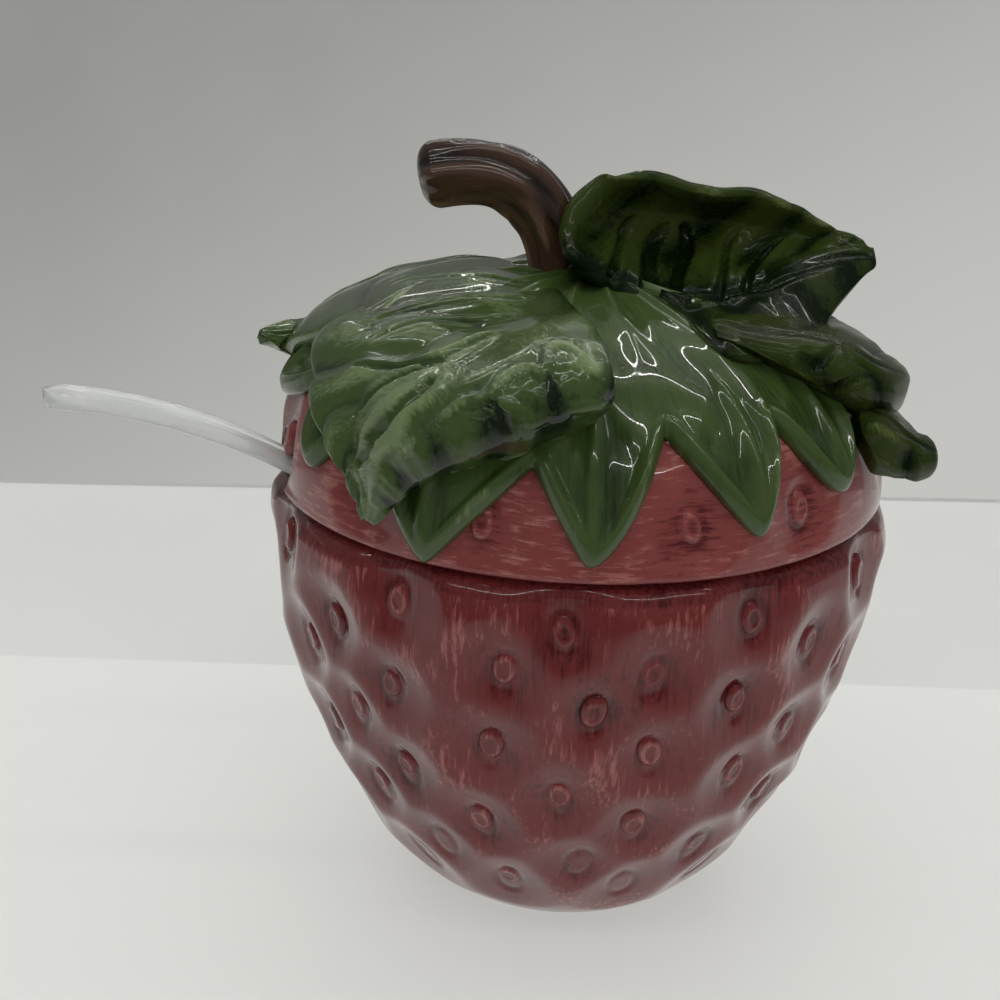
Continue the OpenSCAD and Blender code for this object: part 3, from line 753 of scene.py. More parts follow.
@dataclass
class SeedTree:
    """Geometry Nodes that set a seed on every marked point of a skin."""

    seeds: Seeds
    rise: float = 0.75 * MM
    bed_share: float = 0.4
    ring_place: float = 0.62
    size: float = 1.0
    spread: float = 0.09
    rows: int = 8
    columns: int = 20

    def pebble(self, name: str) -> Piece:
        """One seed: a low oval with a raised rim, lying in the XY plane.

        Args:
            name: The object's name.

        Returns:
            The seed, which the tree repeats.
        """
        f = np.linspace(1, 0.08, self.rows)
        a = around(self.columns)
        ring = np.exp(-(((f - self.ring_place) / 0.16) ** 2))
        lift = self.rise * (np.sqrt(1 - f**2) * 0.75 + 0.35 * ring)
        rings = np.zeros((self.rows + 1, self.columns, 3))
        rings[0, :, 2] = -2 * self.rise
        for k, share in enumerate(np.concatenate([[1.0], f])):
            rings[k, :, 0] = share * self.seeds.width / 2 * np.cos(a)
            rings[k, :, 1] = share * self.seeds.length / 2 * np.sin(a)
        rings[1:, :, 2] = lift[:, None]
        marks = np.concatenate([[0.2], 0.3 + 0.45 * np.exp(-(((f - self.ring_place) / 0.2) ** 2))])
        return mesh_from_rings(name, rings, np.repeat(marks[:, None], self.columns, 1))

    def tree(self, name: str, pebble: Piece, finish: Finish) -> Tuple[bpy.types.NodeTree, Dict[str, str]]:
        """Builds the node tree.

        Args:
            name: The tree's name.
            pebble: The seed that is repeated.
            finish: The seeds' material.

        Returns:
            The tree and the identifiers of its inputs by name.
        """
        group = bpy.data.node_groups.new(name, "GeometryNodeTree")
        face = group.interface
        face.new_socket("Geometry", in_out="INPUT", socket_type="NodeSocketGeometry")
        sockets = {
            key: face.new_socket(key, in_out="INPUT", socket_type=kind).identifier
            for key, kind in (("Seed size", "NodeSocketFloat"), ("Size spread", "NodeSocketFloat"),
                              ("Pick", "NodeSocketInt"))
        }
        face.new_socket("Geometry", in_out="OUTPUT", socket_type="NodeSocketGeometry")
        links = group.links
        into, out, source, turn, rotation, vary, low, high, setter, solid, dress = (
            group.nodes.new(kind)
            for kind in (
                "NodeGroupInput", "NodeGroupOutput", "GeometryNodeObjectInfo",
                "GeometryNodeInputNamedAttribute", "FunctionNodeEulerToRotation", "FunctionNodeRandomValue",
                "ShaderNodeMath", "ShaderNodeMath", "GeometryNodeInstanceOnPoints",
                "GeometryNodeRealizeInstances", "GeometryNodeSetMaterial",
            )
        )
        source.inputs["Object"].default_value = pebble
        turn.data_type = "FLOAT_VECTOR"
        turn.inputs["Name"].default_value = "turn"
        dress.inputs["Material"].default_value = finish
        for end, operation in ((low, "SUBTRACT"), (high, "ADD")):
            end.operation = operation
            links.new(into.outputs["Seed size"], end.inputs[0])
            links.new(into.outputs["Size spread"], end.inputs[1])
        links.new(low.outputs[0], vary.inputs[2])
        links.new(high.outputs[0], vary.inputs[3])
        links.new(into.outputs["Pick"], vary.inputs["Seed"])
        links.new(turn.outputs["Attribute"], rotation.inputs[0])
        links.new(into.outputs["Geometry"], setter.inputs["Points"])
        links.new(source.outputs["Geometry"], setter.inputs["Instance"])
        links.new(rotation.outputs[0], setter.inputs["Rotation"])
        links.new(vary.outputs[1], setter.inputs["Scale"])
        links.new(setter.outputs[0], solid.inputs[0])
        links.new(solid.outputs[0], dress.inputs["Geometry"])
        links.new(dress.outputs[0], out.inputs[0])
        return group, sockets

    def grow(self, name: str, points: Array, normals: Array, tilts: Array, finish: Finish) -> Piece:
        """Sets the seeds and returns them as one plain mesh.

        Args:
            name: The piece's name.
            points: Where the seeds sit.
            normals: The skin's directions there.
            tilts: How far each seed leans, in radians.
            finish: Their material.

        Returns:
            The seeds as a mesh object.
        """
        sunk = self.seeds.depth + self.seeds.groove * self.bed_share
        spots = bpy.data.meshes.new(name + "_points")
        spots.from_pydata((points - normals * sunk).tolist(), [], [])
        eulers = []
        for normal, tilt in zip(normals, tilts):
            out = Vector(normal).normalized()
            side = Vector((-out.y, out.x, 0)).normalized()
            side, up = turned(side, out.cross(side), tilt)
            eulers.extend(Matrix((side, up, out)).transposed().to_euler("XYZ"))
        spots.attributes.new("turn", "FLOAT_VECTOR", "POINT").data.foreach_set("vector", eulers)
        carrier = linked(name + "_points", spots)
        pebble = self.pebble(name + "_one")
        group, sockets = self.tree(name + "_tree", pebble, finish)
        modifier = carrier.modifiers.new("seeds", "NODES")
        modifier.node_group = group
        for key, value in (("Seed size", self.size), ("Size spread", self.spread), ("Pick", self.seeds.number)):
            modifier[sockets[key]] = value
        mesh = worked_mesh(carrier)
        mesh.name = name
        carrier.modifiers.remove(modifier)
        bpy.data.objects.remove(carrier)
        bpy.data.objects.remove(pebble)
        bpy.data.node_groups.remove(group)
        mesh.polygons.foreach_set("use_smooth", [True] * len(mesh.polygons))
        return linked(name, mesh)


@dataclass
class Berry:
    """The pot: a dimpled berry with a turned lip, a smooth hollow and a foot ring."""

    width: float = 110 * MM
    height: float = 78 * MM
    shoulder_drop: float = 8 * MM
    foot_width: float = 40 * MM
    foot_ring: float = 5 * MM
    foot_recess: float = 1.2 * MM
    foot_fade: float = 5 * MM
    wall: float = 5 * MM
    floor: float = 6 * MM
    rim_width: float = 6.8 * MM
    lip_height: float = 3.6 * MM
    lip_round: float = 3 * MM
    lip_inner_round: float = 2.4 * MM
    lip_step: float = 0.3 * MM
    lip_blend: float = 6 * MM
    lip_rows: int = 10
    lip_mark: float = 0.3
    uneven: float = 0.3 * MM
    side_power: float = 1.5
    side_root: float = 0.37
    shoulder_share: float = 0.025
    columns: int = 460
    rows: int = 128
    seeds: Seeds = field(
        default_factory=lambda: Seeds(count=11, rows=8, first=14 * MM, pitch=8.15 * MM, turn=-106.4)
    )

    def radius(self, z: Array) -> Array:
        """Radius of the smooth berry.

        Args:
            z: Heights over the table.

        Returns:
            The radius at each.
        """
        belly = self.height - self.shoulder_drop
        foot = (1 - (self.foot_width / self.width) ** (1 / self.side_root)) ** (1 / self.side_power)
        below = np.clip((belly - z) / belly, 0, 1)
        side = self.width / 2 * (1 - (foot * below) ** self.side_power) ** self.side_root
        above = np.clip((z - belly) / self.shoulder_drop, 0, None)
        return np.where(z < belly, side, self.width / 2 * (1 - self.shoulder_share * above**2))

    @property
    def skin_top(self) -> float:
        """Height at which the lip begins."""
        return self.height - self.lip_height

    @property
    def rim_radius(self) -> float:
        """Outer radius of the lip."""
        return float(self.radius(np.array(self.skin_top))) - self.lip_step

    @property
    def mouth_radius(self) -> float:
        """Radius of the mouth."""
        return self.rim_radius - self.rim_width

    def foot(self) -> Array:
        """The foot ring's profile from the middle outwards.

        Returns:
            An array of (radius, height) pairs.
        """
        outer = self.foot_width / 2
        inner = outer - self.foot_ring
        return np.array([
            (outer * 0.2, self.foot_recess), (inner, self.foot_recess), (inner + 0.4 * MM, 0.2 * MM),
            (inner + 0.8 * MM, 0), (outer - 1.2 * MM, 0), (outer - 0.2 * MM, 0.5 * MM),
        ])

    def hollow(self) -> Array:
        """The profile from the outside of the lip over it and down to the middle of the floor.

        Returns:
            An array of (radius, height) pairs.
        """
        outer, inner, mouth = self.lip_round, self.lip_inner_round, self.mouth_radius
        z = blend(self.skin_top - 2 * self.lip_height, self.floor + 1.5 * MM, np.linspace(0, 1, 26))
        floor_r = float(self.radius(np.array(self.floor))) - self.wall
        return np.concatenate([
            arc((self.rim_radius - outer, self.height - outer), outer, 9, 90, self.lip_rows),
            arc((mouth + inner, self.height - inner), inner, 90, 180, 7),
            [(mouth, self.skin_top - 2 * MM)],
            np.stack([self.radius(z) - self.wall, z], -1),
            [(floor_r - 2 * MM, self.floor + 0.3 * MM), (floor_r - 5 * MM, self.floor)],
            [(self.foot_width / 2 * 0.1, self.floor)],
        ])

    def skin(self) -> Tuple[Array, Array]:
        """The whole closed skin.

        Returns:
            Rings of points from under the foot, up the outside, over the lip and down inside,
            and the ridge mark of each.
        """
        top = self.height - self.lip_round
        heights = self.foot_recess + (top - self.foot_recess) * np.linspace(0, 1, self.rows) ** 1.25
        a = around(self.columns)
        z = np.repeat(heights[:, None], self.columns, 1)
        r = self.radius(z)
        relief, ridge = self.seeds.relief(np.repeat(a[None, :], self.rows, 0), z, r)
        fade = smooth(self.foot_recess, self.foot_fade, z)
        relief = relief * fade + self.uneven * fade * ripple(polar(r, a, z), 5, 26 * MM)
        step = self.rim_radius - self.radius(np.array(top))
        relief = relief + step * smooth(top - self.lip_blend, top, z)
        foot, hollow = self.foot(), self.hollow()
        rings = np.concatenate([
            spin(*foot.T, self.columns), spin(r + relief, z, self.columns), spin(*hollow.T, self.columns)
        ])
        wave = ripple(polar(self.rim_radius, a, np.zeros_like(a)), 12, 20 * MM)
        for k in range(self.lip_rows):
            push = relief[-1] * (1 - (k + 1) / (self.lip_rows + 1))
            ring = rings[len(foot) + self.rows + k]
            ring[:, 0] += push * np.cos(a)
            ring[:, 1] += push * np.sin(a)
            ring[:, 2] -= self.uneven * np.clip(1 + wave, 0, 2) * math.sin(math.pi * k / (self.lip_rows - 1))
        under, inner = np.zeros((len(foot), self.columns)), np.full((len(hollow), self.columns), self.lip_mark)
        return rings, np.concatenate([under, ridge, inner])

    def seed_piece(self, finish: Finish) -> Piece:
        """The seeds on the berry.

        Args:
            finish: Their material.

        Returns:
            The seeds as one mesh.
        """
        a, z, tilt = self.seeds.places().T
        slope = (self.radius(z + 0.5 * MM) - self.radius(z - 0.5 * MM)) / MM
        normals = unit(polar(1.0, a, -slope))
        return SeedTree(self.seeds).grow("pot_seeds", polar(self.radius(z), a, z), normals, tilt, finish)

    def build(self) -> None:
        """Makes the pot and its seeds."""
        glaze = BERRY_GLAZE.build()
        place(mesh_from_rings("pot_shell", *self.skin()), Body.POT, Slot.BERRY, glaze, "pot_body")
        place(self.seed_piece(glaze), Body.POT, Slot.BERRY, glaze)


@dataclass
class Dome:
    """The rounded form of the lid, on which the leaves lie."""

    berry: Berry
    inset: float = 1.5 * MM
    rise: float = 31 * MM
    power: float = 2.6
    seat_gap: float = 0.3 * MM
    edge_round: float = 1 * MM

    @property
    def radius(self) -> float:
        """Radius of the lid's edge."""
        return self.berry.width / 2 - self.inset

    @property
    def base(self) -> float:
        """Height of the dome's widest line."""
        return self.berry.height + self.seat_gap + self.edge_round

    def point(self, turn: Array, a: Array, lift: Any = 0.0) -> Array:
        """Points over the dome.

        Args:
            turn: Turn from the top, in degrees.
            a: Angle round the axis, in radians.
            lift: Distance from the dome.

        Returns:
            The points.
        """
        t = np.radians(turn)
        r = self.radius * np.abs(np.sin(t)) ** (2 / self.power)
        z = self.rise * np.abs(np.cos(t)) ** (2 / self.power)
        sides = ((r, self.radius), (z, self.rise))
        n = unit(np.stack([(part / whole) ** (self.power - 1) / whole for part, whole in sides], -1))
        return polar(r + lift * n[..., 0], a, self.base + z + lift * n[..., 1])

    def above(self, points: Array, lift: Array) -> Array:
        """Points that lie lower than a lift over the dome are moved out to it.

        Args:
            points: Any points.
            lift: The least distance from the dome for each.

        Returns:
            The points, none lower than that.
        """
        r = np.linalg.norm(points[..., :2], axis=-1)
        z = np.clip(points[..., 2] - self.base, 0, None)
        share = (r / (self.radius + lift)) ** self.power + (z / (self.rise + lift)) ** self.power
        grow = np.maximum(1, np.maximum(share, 1e-6) ** (-1 / self.power))
        out = points.copy()
        out[..., :2] *= grow[..., None]
        out[..., 2] = np.where(points[..., 2] > self.base, self.base + z * grow, points[..., 2])
        return out

    def share(self, p: Point) -> Array:
        """A place given in hundredths of the lid's radius and rise."""
        x, y, z = (v / 100 for v in p)
        return np.array([x * self.radius, y * self.radius, self.base + z * self.rise])


@dataclass
class LidShell:
    """The lid's dimpled dome with its seat, locating ring, hollow and spoon notch."""

    dome: Dome
    wall: float = 4.6 * MM
    flange_depth: float = 6 * MM
    flange_wall: float = 3 * MM
    flange_gap: float = 0.6 * MM
    notch_width: float = 16 * MM
    notch_height: float = 9 * MM
    notch_depth: float = 16 * MM
    notch_flare: float = 1.22
    notch_turn: float = 190
    dent: float = 1.3 * MM
    dent_turn: float = 0.26
    uneven: float = 0.3 * MM
    under_mark: float = 0.35
    rows: int = 110
    columns: int = 420
    seeds: Seeds = field(
        default_factory=lambda: Seeds(
            count=12, rows=1, first=87.8 * MM, pitch=10 * MM, turn=15, number=8, reach=9 * MM,
            depth=1.6 * MM,
        )
    )

    def under(self) -> Array:
        """The profile from the top of the hollow down, round the locating ring and along the seat.

        Returns:
            An array of (radius, height) pairs.
        """
        dome, berry = self.dome, self.dome.berry
        t = np.radians(np.linspace(3, 84, 26))
        bent = [part ** (2 / dome.power) for part in (np.sin(t), np.cos(t))]
        in_r, in_z = dome.radius - self.wall, dome.rise - self.wall
        hollow = np.stack([in_r * bent[0], dome.base + in_z * bent[1]], -1)
        hollow = hollow[hollow[:, 1] > dome.base + 2 * MM]
        seat, edge = berry.height + dome.seat_gap, dome.radius
        foot = seat - self.flange_depth
        outer = berry.mouth_radius - self.flange_gap
        inner = outer - self.flange_wall
        ring = [
            (inner, dome.base + 1 * MM), (inner, foot + 0.6 * MM), (inner + 0.6 * MM, foot),
            (outer - 0.8 * MM, foot), (outer, foot + 0.8 * MM), (outer, seat - 0.3 * MM),
            (outer + 0.3 * MM, seat), (edge - 3 * MM, seat), (edge - 1.2 * MM, seat + 0.15 * MM),
            (edge - 0.4 * MM, seat + 0.5 * MM),
        ]
        return np.concatenate([hollow, ring])

    def rising(self, low: float, high: float, z: Array) -> Array:
        """A smooth step between two heights, in millimetres over the dome's widest line."""
        return smooth(self.dome.base + low * MM, self.dome.base + high * MM, z)

    def skin(self) -> Tuple[Array, Array]:
        """The closed skin without the notch.

        Returns:
            Rings from the inner top down, round the ring and the seat, and up over the dome,
            and the ridge mark of each point.
        """
        dome, under = self.dome, self.under()
        run = np.linspace(0, 1, self.rows)
        turns = 90 * (1 - run**1.15) + 2.0 * run
        a = np.repeat(around(self.columns)[None, :], self.rows, 0)
        turn = np.repeat(turns[:, None], self.columns, 1)
        bare = dome.point(turn, a)
        z = bare[..., 2]
        relief, ridge = self.seeds.relief(a, z, np.full_like(a, dome.radius))
        fade = self.rising(-0.5, 3, z) * (1 - self.rising(24, 29, z))
        uneven = self.uneven * ripple(bare, 9, 36 * MM)
        off = (a - math.radians(self.notch_turn) + math.pi) % (2 * math.pi) - math.pi
        dent = -self.dent * np.exp(-((off / self.dent_turn) ** 2)) * (1 - self.rising(4, 14, z))
        lift = relief * fade + uneven * fade + dent * self.rising(-0.5, 1, z)
        rings = np.concatenate([spin(*under.T, self.columns), dome.point(turn, a, lift)])
        return rings, np.concatenate([np.full((len(under), self.columns), self.under_mark), ridge])

    def notch(self) -> Piece:
        """The arch that is cut out for the spoon.

        Returns:
            A closed arch, to be cut from the shell.
        """
        dome, half = self.dome, self.notch_width / 2
        seat = dome.berry.height + dome.seat_gap
        low, crown = seat - self.flange_depth - 2 * MM, seat + self.notch_height - half
        arch = [(half * math.cos(b), crown + half * math.sin(b)) for b in np.linspace(math.pi, 0, 33)]
        outline = [(-half, low), *arch, (half, low)]
        turn = math.radians(self.notch_turn)
        c, s = math.cos(turn), math.sin(turn)
        rings = []
        for step, flare in ((-self.notch_depth, 1.0), (-2 * MM, 1.0), (4 * MM, self.notch_flare)):
            reach = dome.radius + step
            rings.append([(reach * c - x * flare * s, reach * s + x * flare * c, z) for x, z in outline])
        return mesh_from_rings("notch_cutter", np.array(rings))

    def build(self) -> None:
        """Makes the lid's shell, cuts its notch and sets its seeds."""
        glaze = LID_GLAZE.build()
        shell, cutter = mesh_from_rings("lid_shell", *self.skin()), self.notch()
        cut = shell.modifiers.new("notch", "BOOLEAN")
        cut.operation, cut.solver, cut.object = "DIFFERENCE", "EXACT", cutter
        whole, mesh = shell.data, worked_mesh(shell)
        shell.modifiers.clear()
        shell.data = mesh
        bpy.data.meshes.remove(whole)
        bpy.data.objects.remove(cutter)
        place(shell, Body.LID, Slot.BERRY, glaze, "lid_dome")
        place(self.seed_piece(glaze), Body.LID, Slot.BERRY, glaze)

    def seed_piece(self, finish: Finish) -> Piece:
        """The seeds on the dome.

        Args:
            finish: Their material.

        Returns:
            The seeds as one mesh.
        """
        dome = self.dome
        a, z, tilt = self.seeds.places().T
        share = np.clip((z - dome.base) / dome.rise, 0.01, 0.99)
        turn = np.degrees(np.arccos(share ** (dome.power / 2)))
        points = dome.point(turn, a)
        normals = unit(dome.point(turn, a, MM) - points)
        return SeedTree(self.seeds).grow("lid_seeds", points, normals, tilt, finish)


@dataclass
class Calyx:
    """The ring of sepals that lies on the dome.

    The outline goes round by tips and valleys in turn: the angle in degrees, the reach as a share
    of a right angle, and how pointed the edge is before or after the tip. Lumps are in millimetres.
    """

    dome: Dome
    outline: Sequence[Tuple[float, float, float]] = (
        (-146, 0.88, 0), (-133, 0.6, 0.6), (-117.5, 1.0, 0.4), (-100, 0.72, 0.9), (-89.5, 0.975, 1.0),
        (-76, 0.61, 0.15), (-60, 0.93, 1.0), (-52, 0.61, 0.9), (-39, 0.875, 0.1), (-31, 0.62, 0.7),
        (-14, 0.86, 0.6), (3, 0.6, 0.5), (18, 0.92, 0.8), (33, 0.58, 0.4), (48, 0.86, 0.9), (62, 0.6, 0.3),
        (75, 0.95, 0.5), (90, 0.62, 0.8), (105, 0.88, 0.4), (119, 0.58, 0.9), (132, 0.93, 0.3),
        (146, 0.6, 0.7), (159, 0.86, 0.5), (172, 0.6, 0.8), (186, 0.78, 0.6), (207, 0.62, 0.5),
    )
    thickness: float = 2.6 * MM
    tip_round: float = 0.19
    bed: float = 0.3 * MM
    crown_rise: float = 2.4 * MM
    crown_turn: float = 26
    start_turn: float = 3.0
    under_rows: int = 14
    under_mark: float = 0.2
    rim_lump: float = 0.7
    hollow_lump: float = 0.8
    rib_lump: float = 1.2
    crest_lump: float = 0.9
    rough_lump: float = 0.35
    flow_share: float = 0.12
    rows: int = 100
    columns: int = 780

    def edge(self, a: Array) -> Tuple[Array, Array, Array, Array]:
        """The reach of the edge at an angle, and where in its sepal the angle lies.

        Args:
            a: Angles in degrees.

        Returns:
            The reach as a share of a right angle, the place across the sepal from 0 at its tip to
            -1 or 1 at a valley, the angle from the tip in degrees and the tip's own reach.
        """
        reach, place_across, lean, peak = (np.zeros_like(a) for _ in range(4))
        count = len(self.outline)
        for k in range(0, count, 2):
            tip, top, left_taper = self.outline[k]
            after, after_low, right_taper = self.outline[k + 1]
            before, before_low, _ = self.outline[k - 1]
            sides = ((-1, before, before_low, left_taper), (1, after, after_low, right_taper))
            for sign, valley, low, taper in sides:
                span = (sign * (valley - tip)) % 360
                off = (sign * (a - tip)) % 360
                share = off / span
                inside = off <= span
                blunt = (np.sqrt(share**2 + self.tip_round**2) - self.tip_round) / (1 - self.tip_round)
                curve = taper * blunt + (1 - taper) * (1 - np.cos(np.radians(90 * np.clip(share, 0, 1))))
                reach = np.where(inside, blend(top, low, curve), reach)
                place_across = np.where(inside, sign * share, place_across)
                lean = np.where(inside, off, lean)
                peak = np.where(inside, top, peak)
        return reach, place_across, lean, peak

    def build(self, finish: Finish) -> None:
        """Makes the sepals as one piece.

        Args:
            finish: Its material.
        """
        degrees = np.linspace(0, 360, self.columns, endpoint=False)
        reach, across, lean, peak = self.edge(degrees)
        rings, marks = [], []
        angle = np.radians(degrees)
        border = self.dome.point(90 * reach, angle)
        for f in np.linspace(0, 1, self.under_rows):
            turn = blend(self.start_turn, 90 * reach, f)
            rings.append(self.dome.point(turn, angle, -self.bed))
            marks.append(np.full(self.columns, self.under_mark))
        for f in 1 - np.linspace(0, 1, self.rows) ** 1.2:
            turn = blend(self.start_turn, 90 * reach, f)
            crown = self.crown_rise * np.clip(1 - turn / self.crown_turn, 0, 1) ** 1.4
            edge = np.clip((1 - f) / 0.1, 0, 1)
            body = self.thickness * (0.3 + 0.7 * np.sqrt(1 - (1 - edge) ** 2.4))
            out = smooth(0.25, 0.6, np.array(f))
            spot = self.dome.point(turn, angle)
            inside = np.linalg.norm(spot[:, None] - border[None], axis=-1).min(1) / MM
            rough = ripple(spot, 31, 15 * MM)
            crest = np.exp(-(((np.abs(across) - 1) / 0.3) ** 2)) * (1 - out)
            gate = smooth(0.0, 0.12, turn / (90 * peak) - 0.42 - 0.35 * np.abs(across))
            sideways = np.radians(lean) * np.hypot(spot[:, 0], spot[:, 1]) / MM
            hollow = gate * smooth(1.9, 3.3, inside)
            rib = hollow * np.exp(-(((sideways + 0.4 * rough) / 1.2) ** 2))
            rim = np.exp(-(((inside - 1.5) / 0.9) ** 2)) * smooth(0.3, 0.5, turn / (90 * peak))
            lump = self.rim_lump * rim - self.hollow_lump * hollow + self.rib_lump * rib
            lump = lump + self.crest_lump * crest + self.rough_lump * rough
            rings.append(self.dome.point(turn, angle, body + lump * MM * edge + crown))
            mark = 0.4 + 0.25 * rim + 0.3 * crest - 0.12 * hollow + 0.22 * rib + 0.1 * rough
            marks.append(np.clip(mark, 0, 1))
        skin = hold(np.array(rings))
        ring = np.stack([self.dome.radius * np.cos(angle), self.dome.radius * np.sin(angle)], -1)
        flow = np.concatenate([np.repeat(ring[None], len(skin), 0), self.flow_share * skin[..., 2:]], -1)
        piece = mesh_from_rings("calyx_sepals", skin, np.array(marks), flow)
        place(piece, Body.LID, Slot.LEAF, finish, "calyx")


def spline_parts(f: Array, count: int) -> Tuple[Array, Array]:
    """Which points a smooth curve through evenly spaced points uses, and their weights.

    Args:
        f: Places along it from 0 to 1.
        count: How many points the curve has.

    Returns:
        Four indices and four weights for each place.
    """
    s = np.clip(f, 0, 1) * (count - 1)
    i = np.minimum(s.astype(int), count - 2)
    t = s - i
    index = np.clip(np.stack([i - 1, i, i + 1, i + 2], -1), 0, count - 1)
    weight = np.stack([-0.5 * t + t**2 - 0.5 * t**3, 1 - 2.5 * t**2 + 1.5 * t**3,
                       0.5 * t + 2 * t**2 - 1.5 * t**3, -0.5 * t**2 + 0.5 * t**3], -1)
    return index, weight


UPRIGHT_SHARES = (
    ((6, 20, 130), (5, 16, 124), (3, 10, 119), (1, 2, 115), (0, -10, 112)),
    ((2, 9, 159), (-4, 0, 151), (-7, -9, 139), (-5, -22, 128), (0, 8, 106)),
    ((14, 2, 169), (11, 9, 149), (11, 7, 127), (11, -17, 115), (15, -17, 106)),
    ((33, 7, 162), (34, 21, 141), (34, 11, 120), (32, -15, 106), (27, -36, 102)),
    ((57, 15, 156), (58, 22, 136), (56, 13, 120), (51, -7, 109), (42, -55, 94)),
    ((74, 19, 143), (73, 21, 130), (71, 13, 122), (68, 2, 116), (65, -37, 88)),
    ((87, 17, 133), (85, 15, 129), (84, 13, 126), (84, 7, 122), (80, -11, 105)),
    ((93, 11, 129), (94, 10, 127), (94, 9, 125), (94, 8, 123), (93, 7, 120)),
)
FOLDED_SHARES = (
    ((-18, 20, 108), (-11, -12, 111), (-5, -42, 112), (1, -72, 113), (4, -95, 108), (5, -97, 94), (1, -86, 77)),
    ((-40, 17, 105), (-31, -19, 107), (-25, -44, 105), (-18, -74, 107), (-13, -99, 105), (-11, -103, 87),
     (-15, -92, 67)),
    ((-63, 4, 98), (-53, -29, 99), (-45, -51, 96), (-37, -81, 95), (-31, -101, 92), (-27, -103, 76),
     (-28, -93, 58)),
    ((-82, -14, 81), (-72, -42, 81), (-64, -59, 79), (-54, -82, 78), (-45, -98, 74), (-41, -100, 61),
     (-42, -90, 49)),
    ((-83, -43, 67), (-75, -59, 63), (-68, -71, 59), (-60, -85, 56), (-54, -93, 52), (-51, -94, 46),
     (-52, -87, 38)),
    ((-70, -74, 39), (-67, -78, 38), (-64, -81, 36), (-61, -86, 37), (-58, -90, 37), (-56, -90, 34),
     (-56, -87, 30)),
    ((-62, -84, 19), (-62, -84, 19), (-61, -85, 19), (-61, -85, 18), (-61, -85, 18), (-60, -85, 19),
     (-60, -85, 19)),
)
RIGHT_UPPER_SHARES = (
    ((36, -29, 101), (36, -37, 101), (37, -44, 99), (38, -44, 93)),
    ((57, -21, 99), (56, -45, 101), (56, -54, 95), (59, -46, 82)),
    ((79, 0, 92), (73, -46, 98), (73, -58, 88), (77, -43, 66)),
    ((92, -20, 83), (87, -46, 86), (87, -53, 76), (89, -40, 57)),
    ((100, -26, 74), (100, -30, 73), (98, -35, 70), (98, -31, 62)),
)
RIGHT_LOWER_SHARES = (
    ((79, -44, 66), (80, -48, 64), (80, -52, 60), (81, -52, 52)),
    ((90, -37, 63), (87, -52, 64), (85, -58, 55), (86, -52, 37)),
    ((99, -36, 51), (96, -49, 52), (95, -54, 44), (94, -50, 33)),
    ((105, -37, 45), (103, -47, 44), (101, -52, 39), (100, -49, 30)),
    ((108, -41, 41), (109, -43, 38), (108, -45, 35), (106, -45, 30)),
)
BACK_LEFT_SHARES = (
    ((-26, 19, 111), (-23, 17, 108), (-21, 4, 109)),
    ((-52, 34, 98), (-49, 22, 97), (-47, -11, 102)),
    ((-75, 34, 77), (-73, 22, 75), (-69, -28, 88)),
    ((-93, 17, 73), (-92, 7, 69), (-93, 0, 61)),
    ((-106, -4, 74), (-105, -5, 73), (-104, -6, 71)),
)
BACK_SHARES = (
    ((-10, 10, 106), (0, 12, 110), (12, 10, 106)),
    ((-18, 40, 108), (6, 42, 116), (28, 36, 108)),
    ((-14, 70, 94), (14, 72, 102), (38, 62, 92)),
    ((2, 92, 70), (20, 93, 76), (36, 84, 70)),
    ((20, 101, 42), (23, 101, 43), (26, 100, 42)),
)


@dataclass(frozen=True)
class Crease:
    """A groove pressed into a leaf, or a ridge raised on it where the depth is negative.

    The route's places are in hundredths of the way from root to tip and from edge to edge, and
    the width and depth are in millimetres.
    """

    route: Sequence[Tuple[int, int]]
    width: float
    depth: float

    def push(self, line: Array, places: Array) -> Array:
        """How far the crease moves the leaf's surface.

        Args:
            line: Points along the crease.
            places: The surface's points, of shape (rows, columns, 3).

        Returns:
            The offset of each place; inwards is negative.
        """
        share = np.linspace(0, 1, len(line))
        force = smooth(-0.02, 0.1, share) * (1 - 0.8 * smooth(0.7, 1, share))
        push = np.zeros(places.shape[:2])
        for point, part in zip(line, force):
            away = np.linalg.norm(places - point, axis=-1)
            reach = self.width * MM * (0.7 + 0.3 * part)
            shape = np.exp(-((away / reach) ** 2)) - 0.3 * np.exp(-(((away / reach - 2.1) / 0.8) ** 2))
            push = np.where(np.abs(shape * part) > np.abs(push), shape * part, push)
        return -self.depth * MM * push


FOLDED_CREASES = (
    Crease(((23, 43), (34, 45), (41, 42), (46, 37), (51, 27)), 1.1, 1.2),
    Crease(((35, 47), (42, 45), (49, 43), (56, 40), (63, 36)), 0.9, 1.0),
    Crease(((41, 52), (47, 54), (57, 53), (66, 45)), 1.5, 1.4),
    Crease(((64, 51), (70, 47), (77, 39)), 0.9, 0.8),
    Crease(((15, 38), (23, 34), (30, 29), (38, 25), (43, 24)), 0.7, 0.8),
    Crease(((10, 28), (18, 25), (29, 20), (37, 16), (43, 15)), 0.9, 0.8),
    Crease(((9, 17), (19, 11), (29, 7), (36, 7), (44, 7)), 0.8, 0.7),
    Crease(((7, 8), (20, 5), (27, 2), (35, 1), (44, 1)), 0.7, 0.6),
    Crease(((2, 66), (6, 70), (10, 61), (14, 59), (18, 68), (20, 65), (25, 64), (32, 68), (38, 66),
            (50, 67), (64, 65)), 1.0, -0.7),
    Crease(((2, 85), (12, 80), (23, 81), (24, 78), (29, 73), (35, 72), (39, 70)), 0.9, -0.5),
    Crease(((18, 69), (17, 76), (17, 82)), 0.9, 0.6),
    Crease(((32, 69), (30, 75), (30, 82)), 0.9, 0.6),
)
